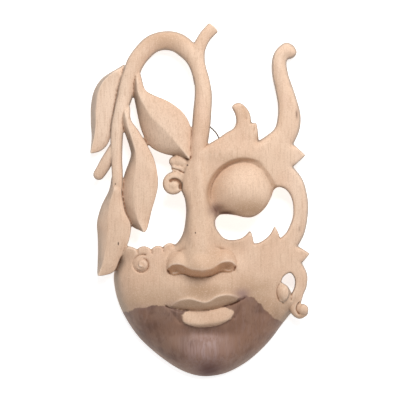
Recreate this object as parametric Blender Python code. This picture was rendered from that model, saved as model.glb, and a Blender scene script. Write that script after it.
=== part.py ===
# Wall mask carved from one block of pale wood: a face whose right half opens into a leafy vine.
# Metres, +Z up. The mask lies on its back with its crown towards +Y. The origin is on the back
# plane, in the middle of the outline. Left and right are as seen from the front.

import math

import bmesh
import bpy
import numpy as np

# Driving dimensions
MASK_HEIGHT = 0.338  # chin to the sawn tip of the twig
CROWN_DEPTH = 0.038  # back plane to the front of the carving, in the middle
EDGE_DEPTH = 0.015  # the same at the outer edges
WALL = 0.011  # wood between the front and the hollow back
RIM_WIDTH = 0.009  # flat rim against the wall, round the chin, the cheeks and the horn
CHEEK_ROUNDING = 0.022  # how far in from the outline the cheeks and the chin curve away
NOSE_RISE = 0.021
LID_RISE = 0.017  # closed eyelid, above the floor of its socket
SOCKET_DEPTH = 0.007
LIP_DEPTH = 0.0074  # from the skin down to the line of the mouth
LEAF_THICKNESS = 0.010  # at the edges of a leaf
LEAF_RIDGE = 0.0075  # midrib above the edges of a leaf
LEAF_SINK = 0.0055  # how deep a stalk starts inside its branch

# Hanging wire and the two holes that it is pushed into
WIRE_DIAMETER = 0.0015
WIRE_CLEARANCE = 0.0004
WIRE_SOCKET = 0.006  # depth of each hole
WIRE_LOOP = 0.022  # height of the loop above the holes
WIRE_STAND_OFF = 0.010  # how far the top of the loop hangs behind the wood

# Mesh fineness
GRID_STEP = 0.0020
VOXEL = 0.0016
SANDED_OFF = 0.0004  # what fusing and smoothing take off the outlines, added beforehand
FACE_BUDGET = 0.06  # share of the fused faces that is kept

# The carving is drawn in millimetres at this height, and follows MASK_HEIGHT.
DRAWN_HEIGHT = 338
UNIT = MASK_HEIGHT / DRAWN_HEIGHT
HALF_SPAN = np.array([115.0, 182.0])  # where the curve of the block reaches EDGE_DEPTH
WIRE_FEET = {"stem": (-1.8, 52), "brow": (21, 47)}

# Lines of the vine: x, y, radius and lift above the curve of the block
STEM = [
    (2, -24, 7, -3), (0.5, -5, 8, 0), (-0.5, 19, 8.1, 2), (-1.5, 38, 8.2, 2), (-1.2, 50, 8.3, 2),
    (0.5, 64.5, 8.6, 2), (2.2, 83.8, 8.8, 1), (3.2, 99.8, 8.2, 0), (1.8, 113, 7.5, 0), (-1, 123.5, 7.5, 0),
    (-2.6, 132, 7.4, 0), (-2.2, 141, 7, 0), (0.6, 148.3, 6.3, 0), (5, 155.9, 6.1, 0), (9.6, 161, 6.2, 0),
    (13.3, 165, 6.3, 0),
]
STEM_ROOT = (0.3, 26, 5, -0.5)  # the branch thins to this inside the brow
ARCH = [
    (0, 110, 5.7, -3), (-1.4, 123.5, 7.1, -1), (-5.7, 134.9, 8.4, 0), (-12.4, 143.2, 9.3, 0),
    (-21.9, 150, 9.5, 0), (-33.7, 151.8, 9.1, 0), (-44.9, 148.7, 8.8, 0), (-53.9, 141, 8.6, 0),
    (-60.8, 131.6, 8.4, 0), (-65.1, 121.6, 8.2, 0), (-68.7, 110.2, 8, 0), (-71.7, 97.9, 7.4, 0),
    (-75, 85.5, 6.5, 1), (-77.9, 74.1, 6.2, 1), (-79, 61.8, 6, 1), (-79.3, 47.5, 5.7, 1),
    (-78.9, 33.3, 5.3, 1), (-78.4, 19, 5.2, 1), (-79.4, 6, 5.2, 0.5), (-82, -6, 5, 0), (-84.5, -17, 4.4, -1),
]
STUB = [(-79.5, 51, 6, -1), (-87.4, 38.6, 6, -1), (-93.2, 28.8, 5.7, -1), (-96.2, 24.4, 5.5, -1)]

# Leaves: outer edge, midrib and inner edge, each from the stalk to the tip
LEAVES = {
    "upper": {
        "edge": [(-72.8, 129.2), (-80.1, 124.7), (-93.2, 116.6), (-100.9, 105.5), (-104.2, 90.3), (-104.3, 76),
                 (-103.6, 61.8), (-104.7, 45)],
        "rib": [(-71.3, 128.3), (-83.6, 120.6), (-93.1, 111), (-96.9, 101), (-98.8, 85.5), (-99.5, 66.5),
                (-104, 45)],
        "inner": [(-68.4, 127.3), (-73, 114), (-77.8, 95), (-81.6, 76), (-84.5, 61.8), (-89.3, 51.8), (-96, 46.4),
                  (-103.6, 44.5)],
        "lift": -2.5,
    },
    "middle": {
        "edge": [(-63.7, 121.6), (-63.1, 109), (-62.7, 98.3), (-60.7, 87.6), (-55.9, 67.3), (-48.1, 51.8),
                 (-34.5, 44), (-17.1, 40.9), (-9.9, 38.7)],
        "rib": [(-60.8, 123.5), (-59.9, 112.1), (-58.4, 101.7), (-53.9, 91.5), (-46.2, 78.9), (-36.5, 69.5),
                (-26.8, 59.2), (-9.9, 38.7)],
        "inner": [(-57.5, 123.5), (-55.6, 115.9), (-52, 105.1), (-44.2, 99.8), (-28.7, 93), (-15.1, 81.8),
                  (-8.6, 68.4), (-7.7, 54), (-9.9, 38.7)],
        "lift": 2,
    },
    "lower": {
        "edge": [(-76.2, 92.2), (-75.2, 82.1), (-72.8, 68.5), (-66.7, 49.1), (-65.9, 41.2), (-71.4, 25.5),
                 (-75.1, 9.7), (-74.2, -2.1), (-65.9, -23.4), (-53.2, -30.6)],
        "rib": [(-72.7, 93.1), (-70.8, 81.7), (-67.9, 68.4), (-61.9, 49.1), (-60.4, 37.3), (-62.7, 9.7),
                (-60.4, -13.9), (-53.2, -30.6)],
        "inner": [(-68.4, 95), (-66.5, 86.9), (-65.6, 76.3), (-58.2, 65.2), (-50.2, 52.3), (-42.3, 35),
                  (-39.9, 12.9), (-45.4, -8.4), (-50, -27), (-53.2, -30.6)],
        "lift": 3,
    },
    "cheek": {
        "edge": [(-84.3, 21.9), (-86.5, 9.7), (-94.2, -6), (-97.9, -20.2), (-97.5, -33.6), (-97.1, -49.4),
                 (-97.7, -68.4), (-96.6, -72.2)],
        "rib": [(-78.9, 20.9), (-83.6, 9.5), (-90.3, -6), (-92.6, -20), (-92.2, -40), (-92.8, -58), (-96.6, -72.2)],
        "inner": [(-73.6, 20.9), (-74.6, 9.5), (-71.5, -10), (-65.6, -24.2), (-68.2, -40.2), (-76.1, -56.1),
                  (-81.8, -68), (-90.8, -71.6), (-96.6, -72.2)],
        "lift": 3,
    },
}

# Outline of the face, clockwise in runs that meet at corners: rounding of the front edge, points.
# The openings run the other way, so that the wood is always on the same side of a line.
OUTLINE = {
    "brow": (4, [(-3, 49), (3, 50.3), (15.5, 57.5), (24.7, 63.7), (31.9, 68.2), (34.3, 74), (33.4, 81), (30.4, 88),
                 (33, 91.4), (38.1, 92.2), (43.3, 88.4), (47.4, 82.2), (48.9, 73.4)]),
    "step": (2.5, [(48.9, 73.4), (53.6, 72.9)]),
    "step_side": (2.5, [(53.6, 72.9), (54.8, 65.5), (55.7, 56.4)]),
    "horn": (8.5, [(55.7, 56.4), (63.8, 61.6), (71.1, 68.3), (73.6, 77), (74.2, 89.4), (72.1, 103.8), (69.1, 118.3),
                   (68.5, 130.6), (71.1, 140.9), (76.3, 147.1), (82.5, 150.2), (88.6, 147.6), (92.2, 142),
                   (91.2, 137.8), (87.6, 135.2), (83.6, 133.8), (82.5, 129.6), (84.5, 118.3), (89.7, 103.8),
                   (93.8, 90.4), (95.9, 79), (94.8, 66.7), (89.1, 53.3)]),
    "temple_spike": (2.5, [(89.1, 53.3), (100.4, 42.5)]),
    "temple_spike_under": (2.5, [(100.4, 42.5), (88.6, 31.6)]),
    "temple": (6.5, [(88.6, 31.6), (97.4, 20.3), (101.7, 6.3), (103, -6.5), (101.7, -21.8), (98.7, -33.6),
                     (93.2, -43.8)]),
    "ear_spike": (2.5, [(93.2, -43.8), (105.4, -51)]),
    "ear_spike_under": (2.5, [(105.4, -51), (97, -59.9)]),
    "ear": (5, [(97, -59.9), (102, -70.5), (101.7, -82), (97.9, -90.4), (93.7, -98), (91, -103.6), (85.5, -109.8)]),
    "chin": (0, [(85.5, -109.8), (77.6, -119.8), (68.2, -132.4), (56.4, -144.9), (42.4, -156.2), (25.8, -164.9),
                 (9.8, -168.3), (-4.1, -167.5), (-18, -162.6), (-31.4, -154.5), (-45.4, -143.6), (-57.6, -132),
                 (-67, -119.4), (-73.9, -107.3), (-78.5, -96), (-81.6, -83), (-82.3, -70.3), (-78.9, -58.9)]),
    "under_leaf": (2, [(-78.9, -58.9), (-72.2, -47.5), (-68.3, -43.7)]),
    "first_bead": (2, [(-68.3, -43.7), (-63, -45.2), (-59.6, -47)]),
    "nose_side": (7, [(-24.1, -42.3), (-21, -39.9), (-17.1, -33.6), (-14.7, -25.7), (-13.5, -13.9), (-13.5, -6),
                      (-14.7, 1.9), (-17.5, 9), (-18, 16), (-16.5, 25), (-14, 34), (-10.5, 42), (-3, 49)]),
}
# Runs that reach back to the wall, each from its first point that does
RIMS = {"chin": 0, "horn": 6, "temple_spike": 0, "temple_spike_under": 0, "temple": 0, "ear_spike": 0,
        "ear_spike_under": 0, "ear": 0}
CHEEK_BEADS = [(-59.6, -47), (-46.2, -47), (-35.2, -45), (-24.1, -42.3)]  # notches of the scalloped edge
BEAD_RISE = 0.24  # height of a scallop, as a share of its width

EYE_OPENING = {
    "inner_corner": (3, [(19, -13.7), (16, -16.6), (14.3, -20.5), (15.5, -27), (21.3, -34.8), (28.2, -37.8),
                         (37.4, -37), (43.1, -33.6), (47, -29.4)]),
    "lash": (1.5, [(47, -29.4), (48.9, -32), (51.2, -41.2)]),
    "between_lashes": (3, [(51.2, -41.2), (56.3, -40.4), (63.1, -36.1), (67.4, -31.1), (70.8, -24.2)]),
    "outer_lash": (1.5, [(70.8, -24.2), (73.2, -28.5), (76.3, -36.1)]),
    "outer_corner": (3.5, [(76.3, -36.1), (81.8, -31.1), (86, -23.4), (88.5, -14.9), (88.5, -3.9), (86, 4.6),
                           (80.9, 10.5), (74.5, 12.3), (70.2, 9.5), (68.2, 3.8)]),
    "lid_edge": (2.5, [(68.2, 3.8), (63.3, -5.2), (57.2, -12.1), (50.4, -16), (42.8, -16.4), (34.2, -14.7),
                       (25.7, -13.6), (19, -13.7)]),
}
EAR_OPENING = {
    "inner": (1.5, [(77, -78), (82.5, -81.4), (85.6, -86), (86.8, -89.6)]),
    "outer": (2.5, [(86.8, -89.6), (89.4, -85.3), (90.6, -79.4), (89.6, -73.6), (85.5, -69.2), (79.2, -72.7),
                    (77, -78)]),
}

# Broad forms of the face: x, y, reach along x and y, height
FORMS = {
    "muzzle": (4, -88, 36, 24, 9), "left_cheek": (-52, -86, 30, 30, 5), "right_cheek": (58, -74, 30, 30, 4),
    "chin": (6, -148, 26, 15, 7), "under_lip": (6, -127, 22, 6, -3.5), "brow_ridge": (28, 45, 30, 9, 2.5),
    "inner_eye": (18, -8, 7, 8, -5), "beside_nose": (-27, -50, 8, 10, -2.5),
    "beside_nose_right": (36, -50, 8, 10, -2.5),
}
# Ovals with a longer radius on their lower side
SOCKET = {"centre": (37, 9), "radii": (33, 28.3), "under": 44, "turn": 40}
LID = {"centre": (40, 9), "radii": (32, 27), "under": 34, "turn": 38}

# Nose and mouth, each across and up from a centre of its own, leaning with the face
NOSE = {"centre": (2, -73.5), "lean": 3}
BRIDGE = [(-2, 21, 0.8), (10, 22, 0.8), (20, 17.5, 0.78), (32, 13, 0.68), (48, 11.5, 0.5), (66, 10.5, 0.32),
          (86, 10, 0.15), (112, 9.5, 0)]  # height up the nose, half width, share of the rise
NOSE_TIP = {"up": 11, "radii": (15, 15.5)}
NOSTRIL_WING = {"across": 21, "up": 11.5, "radii": (12.3, 14.5), "share": 0.68}
# Front edge of the nostrils, and the line where they meet the skin: distance to the side, height
NOSTRIL_EDGE = [(0, 6.3), (8, 7.4), (14, 9.8), (20, 12.4), (24, 12.4), (28, 10.4), (31, 8.8), (34, 8.8), (44, 8.8)]
NOSTRIL_FOOT = [(0, -0.4), (10, 2.2), (16, 4.9), (20, 4.4), (25, 3.2), (28, 3.8), (31, 7.2), (34, 8.6), (44, 8.6)]
NOSTRIL_DEPTH = 3.6
MOUTH = {"centre": (6, -104), "lean": 6}
MOUTH_REACH = 38
MOUTH_CURVE = 0.0055  # rise of the corners, per square millimetre
LIP_BOW = {"height": 12, "dip": 5.2, "dip_reach": 8, "reach": 33}
LOWER_LIP = {"centre": (1, -2), "radii": (25, 15)}

# Small curls: lines as the vine's, volutes, and beads as x, y, radii along x, y and z, and lift
BROW_LOBE = [(-4, 31.5, 6, -3), (-13, 35, 6.2, -3), (-20, 36.6, 6, -3.4), (-24.4, 36.4, 5, -4)]
BROW_FOLD = [(-8, 28, 5, -3.6), (-15, 29.5, 4.2, -4), (-21.5, 30.6, 3.6, -4.6)]
BROW_CURL = {"centre": (-24.5, 14.6), "outer": 8.2, "inner": 5.2, "thickness": 4.9, "from": 40, "turn": 275,
             "lift": -3}
EAR_CURL = [(94, -88, 4.6, 0), (91, -97.5, 4.8, 0), (90.2, -104.4, 4.8, 0), (94.8, -108.6, 4.6, 0),
            (99, -107.4, 3.8, 0)]
CHEEK_BOSS = {"centre": (-55.2, -60.8), "reach": 7.5, "rise": 3}
BEADS = {
    "brow": (-25, 13.6, 7.2, 7, 6.5, -2.2),
    "brow_web": (-16, 23, 10, 14, 9, -3.8),
    "ear": (79, -88, 5.6, 8.2, 6, 5),
    "ear_tip": (97.8, -104, 5.1, 5.1, 5, 1.5),
}


def smooth_line(points, spacing):
    """Points every spacing millimetres along a smooth curve through the given ones, with their other columns."""
    knots = np.array(points, float)
    ends = np.vstack([2 * knots[0] - knots[1], knots, 2 * knots[-1] - knots[-2]])
    made = []
    for before, start, stop, after in zip(ends, ends[1:], ends[2:], ends[3:]):
        steps = max(2, round(np.linalg.norm((stop - start)[:2]) / spacing))
        t = np.linspace(0, 1, steps, endpoint=False)[:, None]
        made.append(0.5 * (2 * start + (stop - before) * t + (2 * before - 5 * start + 4 * stop - after) * t**2
                           + (3 * start - before - 3 * stop + after) * t**3))
    return np.vstack(made + [knots[-1:]])


def scallop(start, stop, spacing):
    """One round bead of the cheek's edge, between two notches."""
    start, stop = np.array(start, float), np.array(stop, float)
    along = stop - start
    outward = np.array([-along[1], along[0]])
    t = np.linspace(0, 1, max(5, round(np.linalg.norm(along) / spacing)))[:, None]
    return start + along * t + outward * BEAD_RISE * np.sin(math.pi * t) ** 0.7


def runs_of(outline, spacing):
    """Every run of an outline as (rounding, points)."""
    runs = []
    for name, (rounding, points) in outline.items():
        runs.append((rounding, smooth_line(points, spacing)))
        if name == "first_bead":
            runs += [(rounding, scallop(a, b, spacing)) for a, b in zip(CHEEK_BEADS, CHEEK_BEADS[1:])]
    return runs


def closed_line(runs):
    return np.vstack([points[:-1] for _, points in runs])


def widened(line, by):
    """A closed line moved by a distance: outwards where it is clockwise, inwards where it isn't."""
    along = np.roll(line, -1, axis=0) - np.roll(line, 1, axis=0)
    outward = np.column_stack([-along[:, 1], along[:, 0]])
    return line + by * outward / np.linalg.norm(outward, axis=1)[:, None]


def distance_to(points, x, y):
    """Distance from each x, y to a line."""
    nearest = np.full(x.shape, np.inf)
    for (ax, ay), (bx, by) in zip(points[:-1, :2], points[1:, :2]):
        along, up = bx - ax, by - ay
        t = np.clip(((x - ax) * along + (y - ay) * up) / (along**2 + up**2), 0, 1)
        np.minimum(nearest, (x - ax - t * along) ** 2 + (y - ay - t * up) ** 2, out=nearest)
    return np.sqrt(nearest)


def ease(low, high, value):
    t = np.clip((value - low) / (high - low), 0, 1)
    return t * t * (3 - 2 * t)


def blend_max(a, b, reach):
    """The higher of two surfaces, with a fillet where they cross."""
    mix = np.clip(0.5 + 0.5 * (a - b) / reach, 0, 1)
    return b + (a - b) * mix + reach * mix * (1 - mix)


def block(x, y):
    """Front of the uncarved block, in drawn millimetres."""
    edge, crown = EDGE_DEPTH / UNIT, CROWN_DEPTH / UNIT
    across = np.clip(1 - (x / HALF_SPAN[0]) ** 2, 0, 1)
    along = np.clip(1 - (y / HALF_SPAN[1]) ** 2, 0, 1)
    return edge + (crown - edge) * across * along


def leaning(x, y, form):
    """Coordinates across and up a form that leans, from its centre."""
    dx, dy = x - form["centre"][0], y - form["centre"][1]
    c, s = math.cos(math.radians(form["lean"])), math.sin(math.radians(form["lean"]))
    return c * dx + s * dy, c * dy - s * dx


def oval(x, y, form):
    """Distance from an oval's centre, 1 at its rim."""
    dx, dy = x - form["centre"][0], y - form["centre"][1]
    c, s = math.cos(math.radians(form["turn"])), math.sin(math.radians(form["turn"]))
    across, up = c * dx + s * dy, c * dy - s * dx
    return np.hypot(across / form["radii"][0], up / np.where(up > 0, form["radii"][1], form["under"]))


def dome(across, up, power=0.6):
    """Height of a round bump of radius 1, which goes on falling outside its rim."""
    inside = 1 - across**2 - up**2
    return np.sign(inside) * np.abs(inside) ** power


def nose(x, y):
    """Height of the nose above the face."""
    u, v = leaning(x, y, NOSE)
    side = np.abs(u)
    rise = NOSE_RISE / UNIT
    line = smooth_line(BRIDGE, 1)
    half_width, share = (np.interp(v, line[:, 0], line[:, k]) for k in (1, 2))
    bridge = share * rise / (1 + (side / half_width) ** 4)
    tip = rise * dome(u / NOSE_TIP["radii"][0], (v - NOSE_TIP["up"]) / NOSE_TIP["radii"][1])
    wing = NOSTRIL_WING
    outward, up = (side - wing["across"]) / wing["radii"][0], (v - wing["up"]) / wing["radii"][1]
    height = blend_max(blend_max(bridge, tip, 6), wing["share"] * rise * dome(outward, up, 0.5), 4)
    upper, lower = (np.interp(side, *smooth_line(line, 0.5).T) for line in (NOSTRIL_EDGE, NOSTRIL_FOOT))
    under = np.clip((v - lower) / np.maximum(upper - lower, 1), 0, 1)
    nostril = NOSTRIL_DEPTH * np.exp(-((outward / 0.5) ** 2)) * np.sin(math.pi * under)
    return (np.maximum(height, 0) * under**0.8 - nostril) * ease(40, 32, side)


def mouth(x, y):
    """Height of the lips above the face."""
    u, v = leaning(x, y, MOUTH)
    side = np.abs(u)
    v = v - MOUTH_CURVE * u**2
    depth = LIP_DEPTH / UNIT
    bow = LIP_BOW["height"] * (1 - np.clip(side / LIP_BOW["reach"], 0, 1) ** 2.8)
    bow = np.maximum(bow - LIP_BOW["dip"] * np.exp(-((side / LIP_BOW["dip_reach"]) ** 2)), 0.5)
    upper = 0.9 * np.exp(-np.clip(v - bow, 0, None) / 3) - depth * (1 - np.clip(v / bow, 0, 1) ** 0.9)
    across = (u - LOWER_LIP["centre"][0]) / LOWER_LIP["radii"][0]
    up = (v - LOWER_LIP["centre"][1]) / LOWER_LIP["radii"][1]
    pad = np.clip(1 - np.abs(across) ** 2.8 - np.abs(up) ** 2.3, 0, 1) ** 0.3
    skin = -0.75 * depth * np.exp(np.minimum(v, 0) / 7)
    ledge = depth * (1.25 * np.clip(-v / 13, 0, 1) - 0.75)
    crease = -1.5 * np.exp(-((v / 1.4) ** 2)) * ease(MOUTH_REACH + 2, MOUTH_REACH - 10, side)
    return np.where(v > 0, upper, skin + (ledge - skin) * pad) * ease(MOUTH_REACH, MOUTH_REACH - 20, side) + crease


def stem_ridge(x, y):
    """Round back of the stem where it runs down over the brow into the nose."""
    rows = smooth_line([row for row in STEM if row[1] < 90], 2)
    centre, radius, lift = (np.interp(y, rows[:, 1], rows[:, k]) for k in (0, 2, 3))
    square = radius**2 - (x - centre) ** 2
    back = block(x, y) + lift - radius + np.sqrt(np.clip(square, 0, None))
    return np.where((square > 0) & (y < 88) & (y > rows[0, 1]), back, -50.0)


def face_front(x, y, edges):
    """Front of the face, carved down from the block."""
    height = block(x, y)
    for centre_x, centre_y, reach_x, reach_y, rise in FORMS.values():
        height = height + rise * np.exp(-(((x - centre_x) / reach_x) ** 2) - ((y - centre_y) / reach_y) ** 2)
    height = blend_max(height, stem_ridge(x, y), 3)
    height = height - SOCKET_DEPTH / UNIT * ease(1.02, 0.84, oval(x, y, SOCKET))
    height = height + LID_RISE / UNIT * np.clip(1 - oval(x, y, LID) ** 2, 0, 1) ** 1.2
    height = height + nose(x, y) + mouth(x, y)
    boss = CHEEK_BOSS
    from_boss = np.hypot(x - boss["centre"][0], y - boss["centre"][1]) / boss["reach"]
    height = height + boss["rise"] * dome(np.minimum(from_boss, 1), 0, 0.5)
    for rounding, points in edges:
        distance = distance_to(points, x, y)
        if rounding:
            inside = np.clip(rounding - distance, 0, rounding)
            height = height - (rounding - np.sqrt(rounding**2 - inside**2))
        else:
            t = np.clip(distance / (CHEEK_ROUNDING / UNIT), 0, 1)
            height = height * (1 - (1 - t) ** 2.4) ** 0.5
    return height


def face_back(x, y, front, rims):
    """Back of the face: a hollow that follows the front, inside flat rims on the back plane."""
    hollow = block(x, y) - WALL / UNIT
    inward = np.min([distance_to(rim, x, y) for rim in rims], axis=0) - RIM_WIDTH / UNIT
    t = np.clip(inward / (CHEEK_ROUNDING / UNIT), 0, 1)
    hollow = np.where(inward > 0, hollow * (1 - (1 - t) ** 2.4) ** 0.5, -2.0)
    return np.minimum(hollow, front - 0.35 * WALL / UNIT)


def mesh_object(name, points, faces):
    """A mesh object from points in drawn millimetres."""
    mesh = bpy.data.meshes.new(name)
    mesh.from_pydata((np.asarray(points, float) * UNIT).tolist(), [], faces)
    mesh.validate()
    obj = bpy.data.objects.new(name, mesh)
    bpy.context.scene.collection.objects.link(obj)
    return obj


def face_block():
    """The carved block of the face, before its outline is sawn."""
    runs = runs_of(OUTLINE, 1.5)
    openings = runs_of(EYE_OPENING, 1.5) + runs_of(EAR_OPENING, 1.5)
    rim = closed_line(runs)
    low, high = rim.min(axis=0) - 3, rim.max(axis=0) + 3
    step = GRID_STEP / UNIT
    across = np.arange(low[0], high[0] + step, step)
    along = np.arange(low[1], high[1] + step, step)
    x, y = (a.ravel() for a in np.meshgrid(across, along))
    front = face_front(x, y, runs + openings)
    rims = [smooth_line(OUTLINE[name][1][int(first):], 2) for name, first in RIMS.items()]
    back = face_back(x, y, front, rims)
    points = np.vstack([np.column_stack([x, y, front]), np.column_stack([x, y, back])])
    columns, rows = len(across), len(along)
    under = columns * rows
    faces = []
    for j in range(rows - 1):
        for i in range(columns - 1):
            a = j * columns + i
            b, c, d = a + 1, a + columns + 1, a + columns
            for corners in ((a, b, c), (a, c, d)):
                faces += [corners, tuple(under + corner for corner in corners[::-1])]
    border = [i for i in range(columns)] + [j * columns + columns - 1 for j in range(1, rows)]
    border += [(rows - 1) * columns + i for i in range(columns - 2, -1, -1)]
    border += [j * columns for j in range(rows - 2, 0, -1)]
    for a, b in zip(border, border[1:] + border[:1]):
        faces += [(b, a, under + a), (b, under + a, under + b)]
    return mesh_object("face", points, faces)


def prism(name, line):
    """A cutter with an outline's shape, through the whole depth of the block."""
    count = len(line)
    points = [(x, y, z) for z in (-20, 120) for x, y in line]
    faces = [tuple(range(count - 1, -1, -1)), tuple(range(count, 2 * count))]
    faces += [(i, (i + 1) % count, count + (i + 1) % count, count + i) for i in range(count)]
    cutter = mesh_object(name, points, faces)
    fix_normals(cutter.data)
    cutter.hide_render = True
    cutter.display_type = "WIRE"
    return cutter


def fix_normals(mesh):
    made = bmesh.new()
    made.from_mesh(mesh)
    bmesh.ops.recalc_face_normals(made, faces=made.faces)
    made.to_mesh(mesh)
    made.free()


def cut(obj, cutter, operation):
    modifier = obj.modifiers.new(cutter.name, "BOOLEAN")
    modifier.object = cutter
    modifier.operation = operation
    modifier.solver = "EXACT"


def sawn_face():
    face = face_block()
    for name, outline, operation in (("outline", OUTLINE, "INTERSECT"), ("eye_opening", EYE_OPENING, "DIFFERENCE"),
                                     ("ear_opening", EAR_OPENING, "DIFFERENCE")):
        line = widened(closed_line(runs_of(outline, 2)), SANDED_OFF / UNIT)
        cut(face, prism(name, line), operation)
    return face


def rounded_ends(line, start, stop):
    """A line of x, y, z, radius with domed ends added where asked."""
    parts = [line]
    for asked, end, inner in ((start, line[0], line[1]), (stop, line[-1], line[-2])):
        if not asked:
            continue
        outward = (end - inner)[:3] / np.linalg.norm((end - inner)[:3])
        angles = np.radians([25, 50, 70, 85])
        cap = np.column_stack([end[:3] + outward * end[3] * np.sin(a) for a in angles]).T
        cap = np.column_stack([cap, end[3] * np.cos(angles)])
        parts = [cap[::-1]] + parts if end is line[0] else parts + [cap]
    return np.vstack(parts)


def tube(name, path, round_start=False, round_stop=False):
    """A round branch along a path of x, y, radius and lift, its front on the curve of the block."""
    line = smooth_line(path, 2)
    line[:, 2] += 0.7 * SANDED_OFF / UNIT
    height = block(line[:, 0], line[:, 1]) + line[:, 3] - line[:, 2]
    line = rounded_ends(np.column_stack([line[:, :2], height, line[:, 2]]), round_start, round_stop)
    curve = bpy.data.curves.new(name, "CURVE")
    curve.dimensions = "3D"
    curve.bevel_depth = 1
    curve.bevel_resolution = 5
    curve.use_fill_caps = True
    spline = curve.splines.new("POLY")
    spline.points.add(len(line) - 1)
    for point, (x, y, z, radius) in zip(spline.points, line * UNIT):
        point.co = (x, y, z, 1)
        point.radius = radius
    obj = bpy.data.objects.new(name, curve)
    bpy.context.scene.collection.objects.link(obj)
    return obj


def curl(form):
    """Path of a small volute that winds in towards its centre."""
    path = []
    for turned in range(0, form["turn"] + 1, 15):
        share = turned / form["turn"]
        angle = math.radians(form["from"] + turned)
        radius = form["outer"] + (form["inner"] - form["outer"]) * share
        thickness = form["thickness"] * (1 - 0.25 * share)
        x = form["centre"][0] + radius * math.cos(angle)
        y = form["centre"][1] + radius * math.sin(angle)
        path.append((x, y, thickness, form["lift"]))
    return path


def bead(name, x, y, radius_x, radius_y, radius_z, lift):
    bpy.ops.mesh.primitive_uv_sphere_add(segments=24, ring_count=14)
    obj = bpy.context.object
    obj.name = name
    obj.scale = (radius_x * UNIT, radius_y * UNIT, radius_z * UNIT)
    obj.location = (x * UNIT, y * UNIT, (float(block(x, y)) + lift - radius_z) * UNIT)
    return obj


def leaf(name, form):
    """A keeled leaf lofted between its edges, with a midrib ridge."""
    stations = 36
    share = np.linspace(0, 1, stations)
    lines = []
    for key in ("edge", "rib", "inner"):
        line = smooth_line(form[key], 1)
        run = np.concatenate([[0], np.cumsum(np.linalg.norm(np.diff(line, axis=0), axis=1))])
        lines.append(np.column_stack([np.interp(share * run[-1], run, line[:, k]) for k in (0, 1)]))
    edge, rib, inner = lines
    ridge, thickness = LEAF_RIDGE / UNIT, LEAF_THICKNESS / UNIT
    narrow = np.clip(np.linalg.norm(inner - edge, axis=1) / 16, 0, 1)
    sunk = LEAF_SINK / UNIT * ease(0.13, 0, share)
    across = [(edge, rib, t, 1.25) for t in (-0.04, 0.25, 0.5, 0.75, 1)]
    across += [(inner, rib, t, 0.75) for t in (0.75, 0.5, 0.25, -0.04)]
    rows = []
    for outer, middle, t, steepness in across:
        place = outer + (middle - outer) * t
        keel = steepness * ridge * (t - 1) + 0.9 * math.sin(math.pi * t)
        height = block(place[:, 0], place[:, 1]) + form["lift"] + keel * narrow - sunk
        rows.append(np.column_stack([place, height]))
    top = np.stack(rows, axis=1)
    bottom = top.copy()
    bottom[:, :, 2] = block(top[:, :, 0], top[:, :, 1]) + form["lift"] - ridge - thickness
    count = len(across)
    ring = np.concatenate([top, bottom[:, ::-1]], axis=1)
    points = ring.reshape(-1, 3)
    around = 2 * count
    faces = []
    for s in range(stations - 1):
        for k in range(around):
            a, b = s * around + k, s * around + (k + 1) % around
            faces.append((a, b, b + around, a + around))
    faces.append(tuple(range(around)))
    faces.append(tuple((stations - 1) * around + k for k in range(around - 1, -1, -1)))
    obj = mesh_object(name, points, faces)
    fix_normals(obj.data)
    return obj


def fuse(name, forms):
    """One object holding every form's evaluated mesh in place. The forms themselves are removed."""
    graph = bpy.context.evaluated_depsgraph_get()
    joined = bmesh.new()
    for form in forms:
        mesh = bpy.data.meshes.new_from_object(form.evaluated_get(graph))
        mesh.transform(form.matrix_world)
        joined.from_mesh(mesh)
        bpy.data.meshes.remove(mesh)
    bmesh.ops.triangulate(joined, faces=joined.faces)
    mesh = bpy.data.meshes.new(name)
    joined.to_mesh(mesh)
    joined.free()
    for obj in list(bpy.data.objects):
        bpy.data.objects.remove(obj)
    obj = bpy.data.objects.new(name, mesh)
    bpy.context.scene.collection.objects.link(obj)
    return obj


def material(name, colour, roughness, metallic):
    made = bpy.data.materials.new(name)
    made.use_nodes = True
    shader = made.node_tree.nodes["Principled BSDF"]
    shader.inputs["Base Color"].default_value = (*colour, 1)
    shader.inputs["Roughness"].default_value = roughness
    shader.inputs["Metallic"].default_value = metallic
    return made


def wire_feet():
    """Where the wire's two ends enter the back of the stem and of the brow, in metres."""
    rows = np.array(STEM)
    x, y = WIRE_FEET["stem"]
    radius, lift = (np.interp(y, rows[:, 1], rows[:, k]) for k in (2, 3))
    stem = (x * UNIT, y * UNIT, float(block(x, y) + lift - 2 * radius) * UNIT)
    x, y = WIRE_FEET["brow"]
    return stem, (x * UNIT, y * UNIT, float(block(x, y)) * UNIT - WALL)


def back_plane():
    """Cutter that leaves what lies in front of the back plane."""
    bpy.ops.mesh.primitive_cube_add(size=1)
    cutter = bpy.context.object
    cutter.name = "back_plane"
    cutter.scale = (2 * MASK_HEIGHT, 2 * MASK_HEIGHT, MASK_HEIGHT)
    cutter.location = (0, 0, MASK_HEIGHT / 2)
    cutter.hide_render = True
    cutter.display_type = "WIRE"
    return cutter


def wire_drill(name, foot):
    """Cutter for one of the wire's holes."""
    x, y, z = foot
    reach = 2 * WIRE_SOCKET
    bpy.ops.mesh.primitive_cylinder_add(vertices=12, radius=WIRE_DIAMETER / 2 + WIRE_CLEARANCE, depth=reach,
                                        location=(x, y, z + WIRE_SOCKET - reach / 2))
    drill = bpy.context.object
    drill.name = name
    drill.hide_render = True
    drill.display_type = "WIRE"
    return drill


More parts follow.
